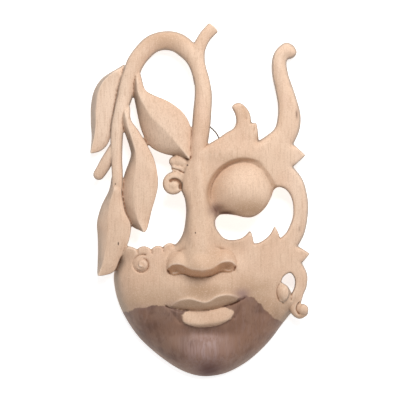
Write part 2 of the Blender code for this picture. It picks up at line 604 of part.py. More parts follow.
def carve_mask():
    forms = [
        sawn_face(),
        tube("stem", [STEM_ROOT] + [row for row in STEM if row[1] > STEM_ROOT[1]]),
        tube("arch", ARCH),
        tube("stub", STUB, round_stop=True),
        tube("brow_lobe", BROW_LOBE, round_stop=True),
        tube("brow_fold", BROW_FOLD, round_stop=True),
        tube("brow_curl", curl(BROW_CURL), round_stop=True),
        tube("ear_curl", EAR_CURL, round_stop=True),
    ]
    forms += [bead(name + "_bead", *sizes) for name, sizes in BEADS.items()]
    forms += [leaf(name + "_leaf", form) for name, form in LEAVES.items()]
    mask = fuse("mask", forms)
    remesh = mask.modifiers.new("one_piece", "REMESH")
    remesh.mode = "VOXEL"
    remesh.voxel_size = VOXEL
    smooth = mask.modifiers.new("sanded", "SMOOTH")
    smooth.factor = 0.5
    smooth.iterations = 2
    decimate = mask.modifiers.new("facets", "DECIMATE")
    decimate.ratio = FACE_BUDGET
    cut(mask, back_plane(), "INTERSECT")
    for side, foot in zip(("left", "right"), wire_feet()):
        cut(mask, wire_drill(side + "_drill", foot), "DIFFERENCE")
    mask.data.materials.append(material("wood", (0.70, 0.50, 0.33), 0.6, 0))
    return mask


def hanging_wire():
    left, right = (np.array(foot) for foot in wire_feet())
    deep = np.array([0, 0, WIRE_SOCKET - WIRE_CLEARANCE])
    proud = np.array([0, 0, -0.002])
    lowest = min(left[2], right[2]) - WIRE_STAND_OFF
    span = right[0] - left[0]
    loop = [(left[0] - 0.02 * span, 0.55), (left[0] + 0.12 * span, 0.9), (left[0] + 0.32 * span, 1),
            (left[0] + 0.58 * span, 0.84), (left[0] + 0.84 * span, 0.5)]
    base = (left[1] + right[1]) / 2
    path = [left + deep, left, left + proud, left + 2 * proud]
    path += [np.array([x, base + height * WIRE_LOOP, lowest]) for x, height in loop]
    path += [right + 2 * proud, right + proud, right, right + deep]
    line = smooth_line(path, 0.0015)
    curve = bpy.data.curves.new("hanging_wire", "CURVE")
    curve.dimensions = "3D"
    curve.bevel_depth = WIRE_DIAMETER / 2
    curve.bevel_resolution = 2
    curve.use_fill_caps = True
    spline = curve.splines.new("POLY")
    spline.points.add(len(line) - 1)
    for point, place in zip(spline.points, line):
        point.co = (*place, 1)
    wire = bpy.data.objects.new("hanging_wire", curve)
    bpy.context.scene.collection.objects.link(wire)
    curve.materials.append(material("wire", (0.35, 0.34, 0.31), 0.4, 1))
    return wire


for old in list(bpy.data.objects):
    bpy.data.objects.remove(old)
carve_mask()
hanging_wire()
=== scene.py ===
import math

import bpy
import numpy as np
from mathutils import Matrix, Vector, geometry


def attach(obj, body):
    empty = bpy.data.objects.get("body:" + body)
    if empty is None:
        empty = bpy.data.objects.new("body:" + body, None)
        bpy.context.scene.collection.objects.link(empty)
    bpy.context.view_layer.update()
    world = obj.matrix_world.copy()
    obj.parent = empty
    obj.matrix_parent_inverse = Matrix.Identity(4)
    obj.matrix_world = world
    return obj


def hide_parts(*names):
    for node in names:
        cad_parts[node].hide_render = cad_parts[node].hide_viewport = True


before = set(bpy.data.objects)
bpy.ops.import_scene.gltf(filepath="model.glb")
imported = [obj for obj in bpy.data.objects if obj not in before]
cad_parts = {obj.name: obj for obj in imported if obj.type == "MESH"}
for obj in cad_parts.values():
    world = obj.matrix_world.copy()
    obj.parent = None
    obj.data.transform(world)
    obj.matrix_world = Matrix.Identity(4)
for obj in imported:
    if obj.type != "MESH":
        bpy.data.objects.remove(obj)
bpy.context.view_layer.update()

mm = 0.001
print("frame loaded")

# The carving, in millimetres. Left and right are as seen from the front.
carving = {
    "crownDepth": 38, "edgeDepth": 15, "halfSpan": (115, 182), "wall": 11, "rimWidth": 9, "cheekRounding": 22,
    "noseRise": 20.7, "lidRise": 17, "socketDepth": 7, "lipRise": 7.4, "leafThickness": 10, "leafRidge": 7.5,
    "thinnest": 0.35,  # share of the wall left where the front dips
    "gougeDepth": 0.35, "flute": (26, 9), "unevenness": 0.14,
    "gridStep": 0.8, "voxel": 0.75, "mostTriangles": 190000,
}

# Lines of the vine: x, y, radius and lift above the curve of the block
stemLine = [
    (2, -24, 7, -3), (0.5, -5, 8, 0), (-0.5, 19, 8.1, 2), (-1.5, 38, 8.2, 2), (-1.2, 50, 8.3, 2),
    (0.5, 64.5, 8.6, 2), (2.2, 83.8, 8.8, 1), (3.2, 99.8, 8.2, 0), (1.8, 113, 7.5, 0), (-1, 123.5, 7.5, 0),
    (-2.6, 132, 7.4, 0), (-2.2, 141, 7, 0), (0.6, 148.3, 6.3, 0), (5, 155.9, 6.1, 0), (9.6, 161, 6.2, 0),
    (12.8, 164.3, 6.3, 0),
]
stemRoot = (0.3, 26, 5, -0.5)
archLine = [
    (0, 110, 5.7, -3), (-1.4, 123.5, 7.1, -1), (-5.7, 134.9, 8.4, 0), (-12.4, 143.2, 9.3, 0),
    (-21.9, 150, 9.5, 0), (-33.7, 151.8, 9.1, 0), (-44.9, 148.7, 8.8, 0), (-53.9, 141, 8.6, 0),
    (-60.8, 131.6, 8.4, 0), (-65.1, 121.6, 8.2, 0), (-68.7, 110.2, 8, 0), (-71.7, 97.9, 7.4, 0),
    (-75, 85.5, 6.5, 1), (-77.9, 74.1, 6.2, 1), (-79, 61.8, 6, 1), (-79.3, 47.5, 5.7, 1),
    (-78.9, 33.3, 5.3, 1), (-78.4, 19, 5.2, 1), (-79.4, 6, 5.2, 0.5), (-82, -6, 5, 0), (-84.5, -17, 4.4, -1),
]
stubLine = [(-79.5, 51, 6, -1), (-87.4, 38.6, 6, -1), (-93.2, 28.8, 5.7, -1), (-96.2, 24.4, 5.5, -1)]

# Leaves: outer edge, midrib and inner edge, each from the stalk to the tip
leafForms = {
    "upperLeaf": {
        "edge": [(-72.8, 129.2), (-80.1, 124.7), (-93.2, 116.6), (-100.9, 105.5), (-104.2, 90.3),
                 (-104.3, 76), (-103.6, 61.8), (-104.3, 45)],
        "rib": [(-71.3, 128.3), (-83.6, 120.6), (-93.1, 111), (-96.9, 101), (-98.8, 85.5), (-99.5, 66.5),
                (-104, 45)],
        "inner": [(-68.4, 127.3), (-73, 114), (-77.8, 95), (-81.6, 76), (-84.5, 61.8), (-89.3, 51.8),
                  (-96, 46.4), (-103.6, 44.5)],
        "lift": -2.5,
    },
    "middleLeaf": {
        "edge": [(-63.7, 121.6), (-63.1, 109), (-62.7, 98.3), (-60.7, 87.6), (-55.9, 67.3), (-48.1, 51.8),
                 (-34.5, 44), (-17.1, 40.9), (-9.9, 38.7)],
        "rib": [(-60.8, 123.5), (-59.9, 112.1), (-58.4, 101.7), (-53.9, 91.5), (-46.2, 78.9), (-36.5, 69.5),
                (-26.8, 59.2), (-9.9, 38.7)],
        "inner": [(-57.5, 123.5), (-55.6, 115.9), (-52, 105.1), (-44.2, 99.8), (-28.7, 93), (-15.1, 81.8),
                  (-8.6, 68.4), (-7.7, 54), (-9.9, 38.7)],
        "lift": 2,
    },
    "lowerLeaf": {
        "edge": [(-76.2, 92.2), (-75.2, 82.1), (-72.8, 68.5), (-66.7, 49.1), (-65.9, 41.2), (-71.4, 25.5),
                 (-75.1, 9.7), (-74.2, -2.1), (-65.9, -23.4), (-53.2, -30.6)],
        "rib": [(-72.7, 93.1), (-70.8, 81.7), (-67.9, 68.4), (-61.9, 49.1), (-60.4, 37.3), (-62.7, 9.7),
                (-60.4, -13.9), (-53.2, -30.6)],
        "inner": [(-68.4, 95), (-66.5, 86.9), (-65.6, 76.3), (-58.2, 65.2), (-50.2, 52.3), (-42.3, 35),
                  (-39.9, 12.9), (-45.4, -8.4), (-50, -27), (-53.2, -30.6)],
        "lift": 3,
    },
    "cheekLeaf": {
        "edge": [(-84.3, 21.9), (-86.5, 9.7), (-94.2, -6), (-97.9, -20.2), (-97.5, -33.6), (-97.1, -49.4),
                 (-97.7, -68.4), (-96.6, -72.2)],
        "rib": [(-78.9, 20.9), (-81.6, 9.5), (-86, -6), (-87.4, -20), (-88.4, -40), (-91.4, -57),
                (-96.6, -72.2)],
        "inner": [(-73.6, 20.9), (-74.6, 9.5), (-71.5, -10), (-65.6, -24.2), (-68.2, -40.2), (-76.1, -56.1),
                  (-81.8, -68), (-90.8, -71.6), (-96.6, -72.2)],
        "lift": 3,
    },
}

# Outline of the face, clockwise in runs that meet at corners: rounding of the front edge, points.
# The openings run the other way, so that the wood is always on the same side of a line.
outline = {
    "brow": (4, [(-3, 49), (3, 50.3), (15.5, 57.5), (24.7, 63.7), (31.9, 68.2), (34.3, 74), (33.4, 81),
                 (30.4, 88), (33, 91.4), (38.1, 92.2), (43.3, 88.4), (47.4, 82.2), (48.9, 73.4)]),
    "step": (2.5, [(48.9, 73.4), (53.6, 72.9)]),
    "stepSide": (2.5, [(53.6, 72.9), (54.8, 65.5), (55.7, 56.4)]),
    "horn": (8.5, [(55.7, 56.4), (63.8, 61.6), (71.1, 68.3), (73.6, 77), (74.2, 89.4), (72.1, 103.8),
                   (69.1, 118.3), (68.5, 130.6), (71.1, 140.9), (76.3, 147.1), (82.5, 150.2), (88.6, 147.6),
                   (92.2, 142), (91.2, 137.8), (87.6, 135.2), (83.6, 133.8), (82.5, 129.6), (84.5, 118.3),
                   (89.7, 103.8), (93.8, 90.4), (95.9, 79), (94.8, 66.7), (89.1, 53.3)]),
    "templeSpike": (2.5, [(89.1, 53.3), (100.4, 42.5)]),
    "templeSpikeUnder": (2.5, [(100.4, 42.5), (88.6, 31.6)]),
    "temple": (6.5, [(88.6, 31.6), (97.4, 20.3), (101.7, 6.3), (103, -6.5), (101.7, -21.8), (98.7, -33.6),
                     (93.2, -43.8)]),
    "earSpike": (2.5, [(93.2, -43.8), (104.7, -51)]),
    "earSpikeUnder": (2.5, [(104.7, -51), (97, -59.9)]),
    "ear": (5, [(97, -59.9), (102, -70.5), (101.7, -82), (97.9, -90.4), (93.7, -98), (91, -103.6),
                (85.5, -109.8)]),
    "chin": (0, [(85.5, -109.8), (77.6, -119.8), (68.2, -132.4), (56.4, -144.9), (42.4, -156.2),
                 (25.8, -164.9), (9.8, -168.3), (-4.1, -167.5), (-18, -162.6), (-31.4, -154.5),
                 (-45.4, -143.6), (-57.6, -132), (-67, -119.4), (-73.9, -107.3), (-78.5, -96), (-81.6, -83),
                 (-82.3, -70.3), (-78.9, -58.9)]),
    "underLeaf": (2, [(-78.9, -58.9), (-72.2, -47.5), (-68.3, -43.7)]),
    "firstBead": (2, [(-68.3, -43.7), (-63, -45.2), (-59.6, -47)]),
    "noseSide": (7, [(-24.1, -42.3), (-21, -39.9), (-17.1, -33.6), (-14.7, -25.7), (-13.5, -13.9),
                     (-13.5, -6), (-14.7, 1.9), (-17.5, 9), (-18, 16), (-16.5, 25), (-14, 34), (-10.5, 42),
                     (-3, 49)]),
}
# Runs that reach back to the wall, each from its first point that does
rims = {"chin": 0, "horn": 6, "templeSpike": 0, "templeSpikeUnder": 0, "temple": 0, "earSpike": 0,
        "earSpikeUnder": 0, "ear": 0}
cheekBeads = [(-59.6, -47), (-46.2, -47), (-35.2, -45), (-24.1, -42.3)]
scallopRise = 0.24  # of a bead, as a share of its length

eyeOpening = {
    "innerCorner": (3, [(19, -13.7), (16, -16.6), (14.3, -20.5), (15.5, -27), (21.3, -34.8), (28.2, -37.8),
                        (37.4, -37), (43.1, -33.6), (47, -29.4)]),
    "lash": (1.5, [(47, -29.4), (48.9, -32), (51.2, -41.2)]),
    "betweenLashes": (3, [(51.2, -41.2), (56.3, -40.4), (63.1, -36.1), (67.4, -31.1), (70.8, -24.2)]),
    "outerLash": (1.5, [(70.8, -24.2), (73.2, -28.5), (76.3, -36.1)]),
    "outerCorner": (3.5, [(76.3, -36.1), (81.8, -31.1), (86, -23.4), (88.5, -14.9), (88.5, -3.9), (86, 4.6),
                          (80.9, 10.5), (74.5, 12.3), (70.2, 9.5), (68.2, 3.8)]),
    "lidEdge": (2.5, [(68.2, 3.8), (63.3, -5.2), (57.2, -12.1), (50.4, -16), (42.8, -16.4), (34.2, -14.7),
                      (25.7, -13.6), (19, -13.7)]),
}
earOpening = {
    "inner": (1.5, [(77, -78), (82.5, -81.4), (85.6, -86), (86.8, -89.6)]),
    "outer": (2.5, [(86.8, -89.6), (89.4, -85.3), (90.6, -79.4), (89.6, -73.6), (85.5, -69.2), (79.2, -72.7),
                    (77, -78)]),
}

# Broad forms of the face: x, y, reach along x and y, height
faceForms = {
    "muzzle": (4, -88, 36, 24, 9), "leftCheek": (-52, -86, 30, 30, 5), "rightCheek": (58, -74, 30, 30, 4),
    "chin": (6, -148, 26, 15, 7), "underLip": (6, -127, 22, 6, -3.5), "browRidge": (28, 45, 30, 9, 2.5),
    "innerEye": (15, -11, 7, 7, -4), "besideNose": (-27, -50, 8, 10, -2.5),
    "besideNoseRight": (36, -50, 8, 10, -2.5),
}
socket = {"centre": (37, 9), "radii": (33, 28.3), "under": 44, "turn": 40}
lid = {"centre": (40, 9), "radii": (32, 27), "under": 34, "turn": 38}
noseForm = {
    "centre": (2, -73.5), "lean": 3,
    "tip": (11, 15, 15.5),  # height of its middle, reach across and along
    "wing": (21, 11.5, 12.3, 14.5, 0.68),  # distance to the side, height, reaches, share of the nose's rise
    "blends": (6, 4),  # of the tip and of the wings into the bridge
    "nostril": (24, 5, 3.4),  # distance to the side, width, depth
    "rim": (0.6, 1.2, 1.2), "crease": (-0.3, 0.9, 1.1),  # height above the foot, width, rise or depth
    # height, half the width and share of the rise
    "bridge": [(-2, 21, 0.8), (10, 22, 0.8), (20, 17.5, 0.78), (32, 13, 0.68), (48, 11.5, 0.5),
               (66, 10.5, 0.32), (86, 10, 0.15), (112, 9.5, 0)],
    # front edge of the nostrils, and the line where they meet the skin: distance to the side, height
    "edge": [(0, 8), (7, 9.1), (13, 10.8), (17, 12.9), (20, 14), (24, 14.5), (28, 14.1), (31, 12), (33, 9.6),
             (44, 9.6)],
    "foot": [(0, 0.5), (9, 1.7), (13.5, 3.4), (17, 4.8), (20.5, 5.1), (24, 4.4), (27, 4.2), (30, 6),
             (32.4, 9), (44, 9.5)],
    "outline": [(15, 28.4), (19, 27), (25, 23.8), (30, 18.8), (32.8, 13.6), (32.6, 9.4), (30.4, 6)],
    "outlineCut": (1.4, 1.5),
}
mouthForm = {
    "centre": (6, -104), "lean": 6, "reach": 38, "curve": 0.0055, "fade": 20,
    "bow": (12, 4.6, 9, 34),  # height, dip in the middle, width of the dip, reach
    "bead": (2, 1.8), "crease": (1.5, 1.4),  # rise or depth, width
    "lowerLip": (0.4, -6.9, 24.9, 9.4),  # middle, reaches
    "lowerLipSag": 0.003,
}

# Small curls
browLobe = [(-4, 31.5, 6, -3), (-13, 35, 6.2, -3), (-20, 36.6, 6, -3.4), (-24.4, 36.4, 5, -4)]
browFold = [(-8, 28, 5, -3.6), (-15, 29, 4.6, -3.6), (-20, 29.6, 4.4, -3.8), (-23.4, 30.6, 3.9, -4.2)]
browCurl = {"centre": (-24.5, 14.6), "outer": 8.2, "inner": 5.2, "thickness": 4.9, "thinning": 0.25,
            "start": 40, "turn": 275, "lift": -3}
earCurl = [(94, -88, 4.6, 0), (91, -97.5, 4.8, 0), (90.2, -104.4, 4.8, 0), (94.8, -108.6, 4.6, 0),
           (99, -107.4, 3.8, 0)]
cheekCurl = {"centre": (-55, -61), "outer": 9.6, "inner": 3.4, "start": 70, "turn": 560}
bosses = [(-55.2, -60.6, 5.8, 2.6), (-56.8, -63.4, 2.8, 1.4), (77.6, -95.6, 3, 1.6)]  # x, y, radius, rise
notchLength = 3.5  # of the cuts between the beads
# Width and depth of the lines cut with a fine gouge
gouges = {"cheekCurl": (0.9, 1.7), "notch": (0.9, 1.3), "earRing": (0.8, 2), "mouthFold": (1.5, 0.9)}
# Lines cut last, over the fused wood: points, width, depth
fineCuts = [
    ([(-26.5, 29.4), (-21.7, 28.3), (-16, 26.2)], 0.9, 1.3),
    ([(-28.2, 18.2), (-25.3, 19.4), (-21, 18.4), (-18.6, 15.2), (-18.6, 11.5)], 1.4, 1.5),
    ([(75.4, -79.8), (73.4, -84), (73.2, -90), (75.4, -96), (79, -98)], 0.9, 1),
    ([(94.5, -97.8), (92.4, -101), (92.2, -105), (94, -108.6)], 0.9, 1.6),
    ([(41, 87.4), (43.6, 83), (44, 77.5)], 1.8, 1.1), ([(52, 71), (51.4, 66)], 0.8, 0.8),
    ([(-33, -100), (-27, -103), (-19, -105.6)], 0.7, 0.7), ([(29, -99.6), (37, -96), (43, -92.4)], 0.7, 0.45),
]
mouthFolds = [[(42, -92), (39, -101), (33, -111)], [(-31.5, -101), (-26, -107), (-19, -116)]]
earRingCut = [(86.8, -89), (86.5, -95)]
knobs = {  # x, y, three radii, lift
    "browKnob": (-25, 13.6, 7.2, 7, 6.5, -2.2), "browWeb": (-14, 21, 9.5, 13, 9, -2.2),
    "browFill": (-11, 30, 9, 12, 9, -2.6), "earDrop": (79.4, -88, 5.4, 8.2, 6, 6),
    "earKnob": (98, -104.4, 5.3, 5.5, 5.2, 2.8),
}


def smoothLine(points, spacing):
    knots = np.array(points, float)
    ends = np.vstack([2 * knots[0] - knots[1], knots, 2 * knots[-1] - knots[-2]])
    made = []
    for before, start, stop, after in zip(ends, ends[1:], ends[2:], ends[3:]):
        steps = max(2, round(np.linalg.norm((stop - start)[:2]) / spacing))
        t = np.linspace(0, 1, steps, endpoint=False)[:, None]
        bent = 2 * before - 5 * start + 4 * stop - after
        made.append(0.5 * (2 * start + (stop - before) * t + bent * t**2
                           + (3 * start - before - 3 * stop + after) * t**3))
    return np.vstack(made + [knots[-1:]])


def scallop(start, stop, spacing):
    start, stop = np.array(start, float), np.array(stop, float)
    along = stop - start
    outward = np.array([-along[1], along[0]])
    t = np.linspace(0, 1, max(5, round(np.linalg.norm(along) / spacing)))[:, None]
    return start + along * t + outward * scallopRise * np.sin(math.pi * t) ** 0.7


def runsOf(lines, spacing):
    runs = []
    for name, (rounding, points) in lines.items():
        runs.append((rounding, smoothLine(points, spacing)))
        if name == "firstBead":
            runs += [(rounding, scallop(a, b, spacing)) for a, b in zip(cheekBeads, cheekBeads[1:])]
    return runs


def closedLine(lines, spacing):
    return np.vstack([points[:-1] for _, points in runsOf(lines, spacing)])


def runAlong(line):
    return np.concatenate([[0], np.cumsum(np.linalg.norm(np.diff(line, axis=0), axis=1))])


def distanceTo(points, x, y):
    nearest = np.full(x.shape, np.inf)
    for (ax, ay), (bx, by) in zip(points[:-1, :2], points[1:, :2]):
        along, up = bx - ax, by - ay
        t = np.clip(((x - ax) * along + (y - ay) * up) / (along**2 + up**2), 0, 1)
        np.minimum(nearest, (x - ax - t * along) ** 2 + (y - ay - t * up) ** 2, out=nearest)
    return np.sqrt(nearest)


def isInside(line, x, y):
    inside = np.zeros(x.shape, bool)
    for (ax, ay), (bx, by) in zip(line, np.roll(line, -1, axis=0)):
        if ay != by:
            inside ^= ((ay > y) != (by > y)) & (x < (bx - ax) * (y - ay) / (by - ay) + ax)
    return inside


def ease(low, high, value):
    t = np.clip((value - low) / (high - low), 0, 1)
    return t * t * (3 - 2 * t)


def blendMax(a, b, reach):
    mix = np.clip(0.5 + 0.5 * (a - b) / reach, 0, 1)
    return b + (a - b) * mix + reach * mix * (1 - mix)


def bell(away, reach):
    return np.exp(-((away / reach) ** 2))


def bellAt(x, y, centreX, centreY, reachX, reachY):
    return np.exp(-(((x - centreX) / reachX) ** 2) - ((y - centreY) / reachY) ** 2)


def dome(across, up, power=0.6):
    inside = 1 - across**2 - up**2
    return np.sign(inside) * np.abs(inside) ** power


def ripple(x, y, seed, scale):
    # soft unevenness between -1 and 1, from a few crossing waves
    made = 0
    for k in range(5):
        angle = seed + 2.4 * k
        along = x * math.cos(angle) + y * math.sin(angle)
        made = made + np.sin(along * (1 + 0.37 * k) / scale + seed * k * 1.7)
    return made / 3.2


def spiral(form):
    share = np.linspace(0, 1, 60)
    angle = np.radians(form["start"] + form["turn"] * share)
    radius = form["outer"] + (form["inner"] - form["outer"]) * share
    x, y = form["centre"]
    return np.column_stack([x + radius * np.cos(angle), y + radius * np.sin(angle)])


def wingLine(side):
    lean = math.radians(noseForm["lean"])
    x, y = noseForm["centre"]
    u, v = smoothLine(noseForm["outline"], 1).T * ((side,), (1,))
    return np.column_stack([x + u * math.cos(lean) - v * math.sin(lean),
                            y + u * math.sin(lean) + v * math.cos(lean)])


def gougeCuts():
    # each one's line, width and depth
    cuts = [(spiral(cheekCurl), *gouges["cheekCurl"]), (np.array(earRingCut), *gouges["earRing"])]
    cuts += [(wingLine(side), *noseForm["outlineCut"]) for side in (-1, 1)]
    for x, y in cheekBeads[:-1]:
        cuts.append((np.array([(x, y + 1), (x + 0.8, y - notchLength)]), *gouges["notch"]))
    cuts += [(smoothLine(line, 1), *gouges["mouthFold"]) for line in mouthFolds]
    return cuts


def blockFront(x, y):
    edge, crown = carving["edgeDepth"], carving["crownDepth"]
    across = np.clip(1 - (x / carving["halfSpan"][0]) ** 2, 0, 1)
    along = np.clip(1 - (y / carving["halfSpan"][1]) ** 2, 0, 1)
    return edge + (crown - edge) * across * along


def leaning(x, y, form):
    dx, dy = x - form["centre"][0], y - form["centre"][1]
    c, s = math.cos(math.radians(form["lean"])), math.sin(math.radians(form["lean"]))
    return c * dx + s * dy, c * dy - s * dx


def ovalReach(x, y, form):
    dx, dy = x - form["centre"][0], y - form["centre"][1]
    c, s = math.cos(math.radians(form["turn"])), math.sin(math.radians(form["turn"]))
    across, up = c * dx + s * dy, c * dy - s * dx
    return np.hypot(across / form["radii"][0], up / np.where(up > 0, form["radii"][1], form["under"]))


def noseHeight(x, y):
    u, v = leaning(x, y, noseForm)
    side = np.abs(u)
    rise = carving["noseRise"]
    line = smoothLine(noseForm["bridge"], 1)
    halfWidth, share = (np.interp(v, line[:, 0], line[:, k]) for k in (1, 2))
    bridge = share * rise / (1 + (side / halfWidth) ** 4)
    tipUp, tipWide, tipTall = noseForm["tip"]
    tip = rise * dome(u / tipWide, (v - tipUp) / tipTall)
    wingOut, wingUp, wingWide, wingTall, wingShare = noseForm["wing"]
    wing = wingShare * rise * dome((side - wingOut) / wingWide, (v - wingUp) / wingTall, 0.5)
    tipBlend, wingBlend = noseForm["blends"]
    height = blendMax(blendMax(bridge, tip, tipBlend), wing, wingBlend)
    upper, lower = (np.interp(side, *smoothLine(noseForm[key], 0.5).T) for key in ("edge", "foot"))
    under = np.clip((v - lower) / np.maximum(upper - lower, 1), 0, 1)
    outer = ease(2, 13, v)
    under = outer + (under - outer) * ease(34, 31, side)
    nostrilOut, nostrilWide, nostrilDeep = noseForm["nostril"]
    nostril = nostrilDeep * bell(side - nostrilOut, nostrilWide) * np.sin(math.pi * under**0.8)
    rimUp, rimWide, rimRise = noseForm["rim"]
    rim = rimRise * bell(v - lower - rimUp, rimWide) * ease(9, 17, side) * ease(33, 30, side)
    # round under the tip, sharper at the nostrils
    soft, sharp = 1 - (1 - under) ** 1.9, under**0.8
    profile = sharp + (soft - sharp) * ease(18, 9, side)
    creaseUp, creaseWide, creaseDeep = noseForm["crease"]
    crease = creaseDeep * bell(v - lower - creaseUp, creaseWide) * ease(31, 28, side)
    return (np.maximum(height, 0) * profile - nostril + rim) * ease(38, 33.5, side) - crease


def lowerLipReach(u, v):
    across, up, wide, tall = mouthForm["lowerLip"]
    return np.abs((u - across) / wide) ** 2.3 + np.abs((v + mouthForm["lowerLipSag"] * u**2 - up) / tall) ** 2


def lipBow(side):
    bowHeight, dip, dipReach, bowReach = mouthForm["bow"]
    bow = bowHeight * (1 - np.clip(side / bowReach, 0, 1) ** 3.6)
    return np.maximum(bow - dip * bell(side, dipReach), 0.5)


def mouthPlace(x, y):
    u, v = leaning(x, y, mouthForm)
    return u, v - mouthForm["curve"] * u**2


def mouthHeight(x, y):
    u, v = mouthPlace(x, y)
    side = np.abs(u)
    rise, reach = carving["lipRise"], mouthForm["reach"]
    bow = lipBow(side)
    fade = ease(reach, reach - mouthForm["fade"], side)
    beadRise, beadWide = mouthForm["bead"]
    bead = beadRise * np.exp(-np.clip(v - bow, 0, None) / beadWide)
    upper = bead - rise * (1 - np.clip(v / bow, 0, 1) ** 0.9)
    skin = -0.75 * rise * np.exp(np.minimum(v, 0) / 7)
    ledge = rise * (1.25 * np.clip(-v / 13, 0, 1) - 0.75)
    lower = skin + (ledge - skin) * np.clip(1 - lowerLipReach(u, v), 0, 1) ** 0.3
    creaseDeep, creaseWide = mouthForm["crease"]
    crease = creaseDeep * bell(v, creaseWide) * ease(reach + 2, reach - 10, side)
    return np.where(v > 0, upper, lower) * fade - crease


def stemRidge(x, y):
    rows = smoothLine([row for row in stemLine if row[1] < 90], 2)
    centre, radius, lift = (np.interp(y, rows[:, 1], rows[:, k]) for k in (0, 2, 3))
    square = radius**2 - (x - centre) ** 2
    back = blockFront(x, y) + lift - radius + np.sqrt(np.clip(square, 0, None))
    return np.where((square > 0) & (y < 88) & (y > rows[0, 1]), back, -50.0)


def faceFront(x, y, edges):
    height = blockFront(x, y)
    for *place, rise in faceForms.values():
        height = height + rise * bellAt(x, y, *place)
    height = blendMax(height, stemRidge(x, y), 3)
    innerCorner = 1 - 0.6 * ease(24, 10, x) * ease(6, -16, y)
    height = height - carving["socketDepth"] * innerCorner * ease(1.05, 0.86, ovalReach(x, y, socket))
    height = height + carving["lidRise"] * np.clip(1 - ovalReach(x, y, lid) ** 2, 0, 1) ** 1.1
    height = height + noseHeight(x, y) + mouthHeight(x, y)
    for centreX, centreY, reach, rise in bosses:
        fromBoss = np.hypot(x - centreX, y - centreY) / reach
        height = height + rise * dome(np.minimum(fromBoss, 1), 0, 0.5)
    for line, width, depth in gougeCuts():
        height = height - depth * bell(distanceTo(line, x, y), width)
    for rounding, points in edges:
        distance = distanceTo(points, x, y)
        if rounding:
            inward = np.clip(rounding - distance, 0, rounding)
            height = height - (rounding - np.sqrt(rounding**2 - inward**2))
        else:
            t = np.clip(distance / carving["cheekRounding"], 0, 1)
            height = height * (1 - (1 - t) ** 2.4) ** 0.5
    return height


def faceBack(x, y, front):
    hollow = blockFront(x, y) - carving["wall"]
    lines = [smoothLine(outline[name][1][first:], 2) for name, first in rims.items()]
    inward = np.min([distanceTo(line, x, y) for line in lines], axis=0) - carving["rimWidth"]
    t = np.clip(inward / carving["cheekRounding"], 0, 1)
    hollow = np.where(inward > 0, hollow * (1 - (1 - t) ** 2.4) ** 0.5, -2.0)
    # shallow flutes that the gouge left, across the grain
    long, wide = carving["flute"]
    flutes = np.abs(np.sin((y + 3 * ripple(x, y, 1.3, 22)) * math.pi / wide))
    flutes = flutes * np.abs(np.sin((x + 11) * math.pi / long))
    hollow = np.where(inward > 3, hollow - carving["gougeDepth"] * flutes**0.5, hollow)
    return np.minimum(hollow, front - carving["thinnest"] * carving["wall"])


def newMesh(name, points, faces):
    mesh = bpy.data.meshes.new(name)
    mesh.from_pydata((np.asarray(points, float) * mm).tolist(), [], faces)
    mesh.validate()
    piece = bpy.data.objects.new(name, mesh)
    bpy.context.scene.collection.objects.link(piece)
    return piece


def selectOnly(*pieces):
    bpy.ops.object.select_all(action="DESELECT")
    for piece in pieces:
        piece.select_set(True)
    bpy.context.view_layer.objects.active = pieces[0]


def turnFacesOut(piece):
    selectOnly(piece)
    bpy.ops.object.mode_set(mode="EDIT")
    bpy.ops.mesh.select_all(action="SELECT")
    bpy.ops.mesh.normals_make_consistent(inside=False)
    bpy.ops.object.mode_set(mode="OBJECT")


def applyModifier(piece, kind, **values):
    selectOnly(piece)
    bpy.ops.object.modifier_add(type=kind)
    modifier = piece.modifiers[-1]
    for key, value in values.items():
        setattr(modifier, key, value)
    bpy.ops.object.modifier_apply(modifier=modifier.name)


def carveFace():
    step = carving["gridStep"]
    loops = [closedLine(lines, step) for lines in (outline, eyeOpening, earOpening)]
    low, high = loops[0].min(axis=0), loops[0].max(axis=0)
    across, along = np.meshgrid(np.arange(low[0], high[0], step), np.arange(low[1], high[1], step))
    x, y = across.ravel(), along.ravel()
    keep = isInside(loops[0], x, y) & ~isInside(loops[1], x, y) & ~isInside(loops[2], x, y)
    x, y = x[keep], y[keep]
    away = [distanceTo(np.vstack([loop, loop[:1]]), x, y) for loop in loops]
    clear = np.min(away, axis=0) > 0.55 * step
    inner = np.column_stack([x[clear], y[clear]])
    points, edges = [*inner], []
    for loop in loops:
        first = len(points)
        points += [*loop]
        edges += [(first + i, first + (i + 1) % len(loop)) for i in range(len(loop))]
    flat, _, triangles, *_ = geometry.delaunay_2d_cdt([Vector(p) for p in points], edges, [], 0, 1e-5)
    flat = np.array([tuple(p) for p in flat])
    triangles = np.array(triangles)
    x, y = flat[triangles].mean(axis=1).T
    keep = isInside(loops[0], x, y) & ~isInside(loops[1], x, y) & ~isInside(loops[2], x, y)
    triangles = triangles[keep]
    x, y = flat.T
    front = faceFront(x, y, runsOf(outline, 2) + runsOf(eyeOpening, 2) + runsOf(earOpening, 2))
    back = faceBack(x, y, front)
    count = len(flat)
    faces = [tuple(map(int, t)) for t in triangles]
    faces += [tuple(int(count + i) for i in t[::-1]) for t in triangles]
    ways = {(int(t[i]), int(t[(i + 1) % 3])) for t in triangles for i in range(3)}
    for a, b in ways:
        if (b, a) not in ways:
            faces += [(b, a, count + a), (b, count + a, count + b)]
    points = np.vstack([np.column_stack([x, y, front]), np.column_stack([x, y, back])])
    return newMesh("face", points, faces)


def roundedEnd(line):
    end, inner = line[-1], line[-2]
    outward = (end - inner)[:3] / np.linalg.norm((end - inner)[:3])
    angles = np.radians([15, 30, 45, 58, 70, 80, 87])
    cap = [[*(end[:3] + outward * end[3] * math.sin(a)), end[3] * math.cos(a)] for a in angles]
    return np.vstack([line, cap])


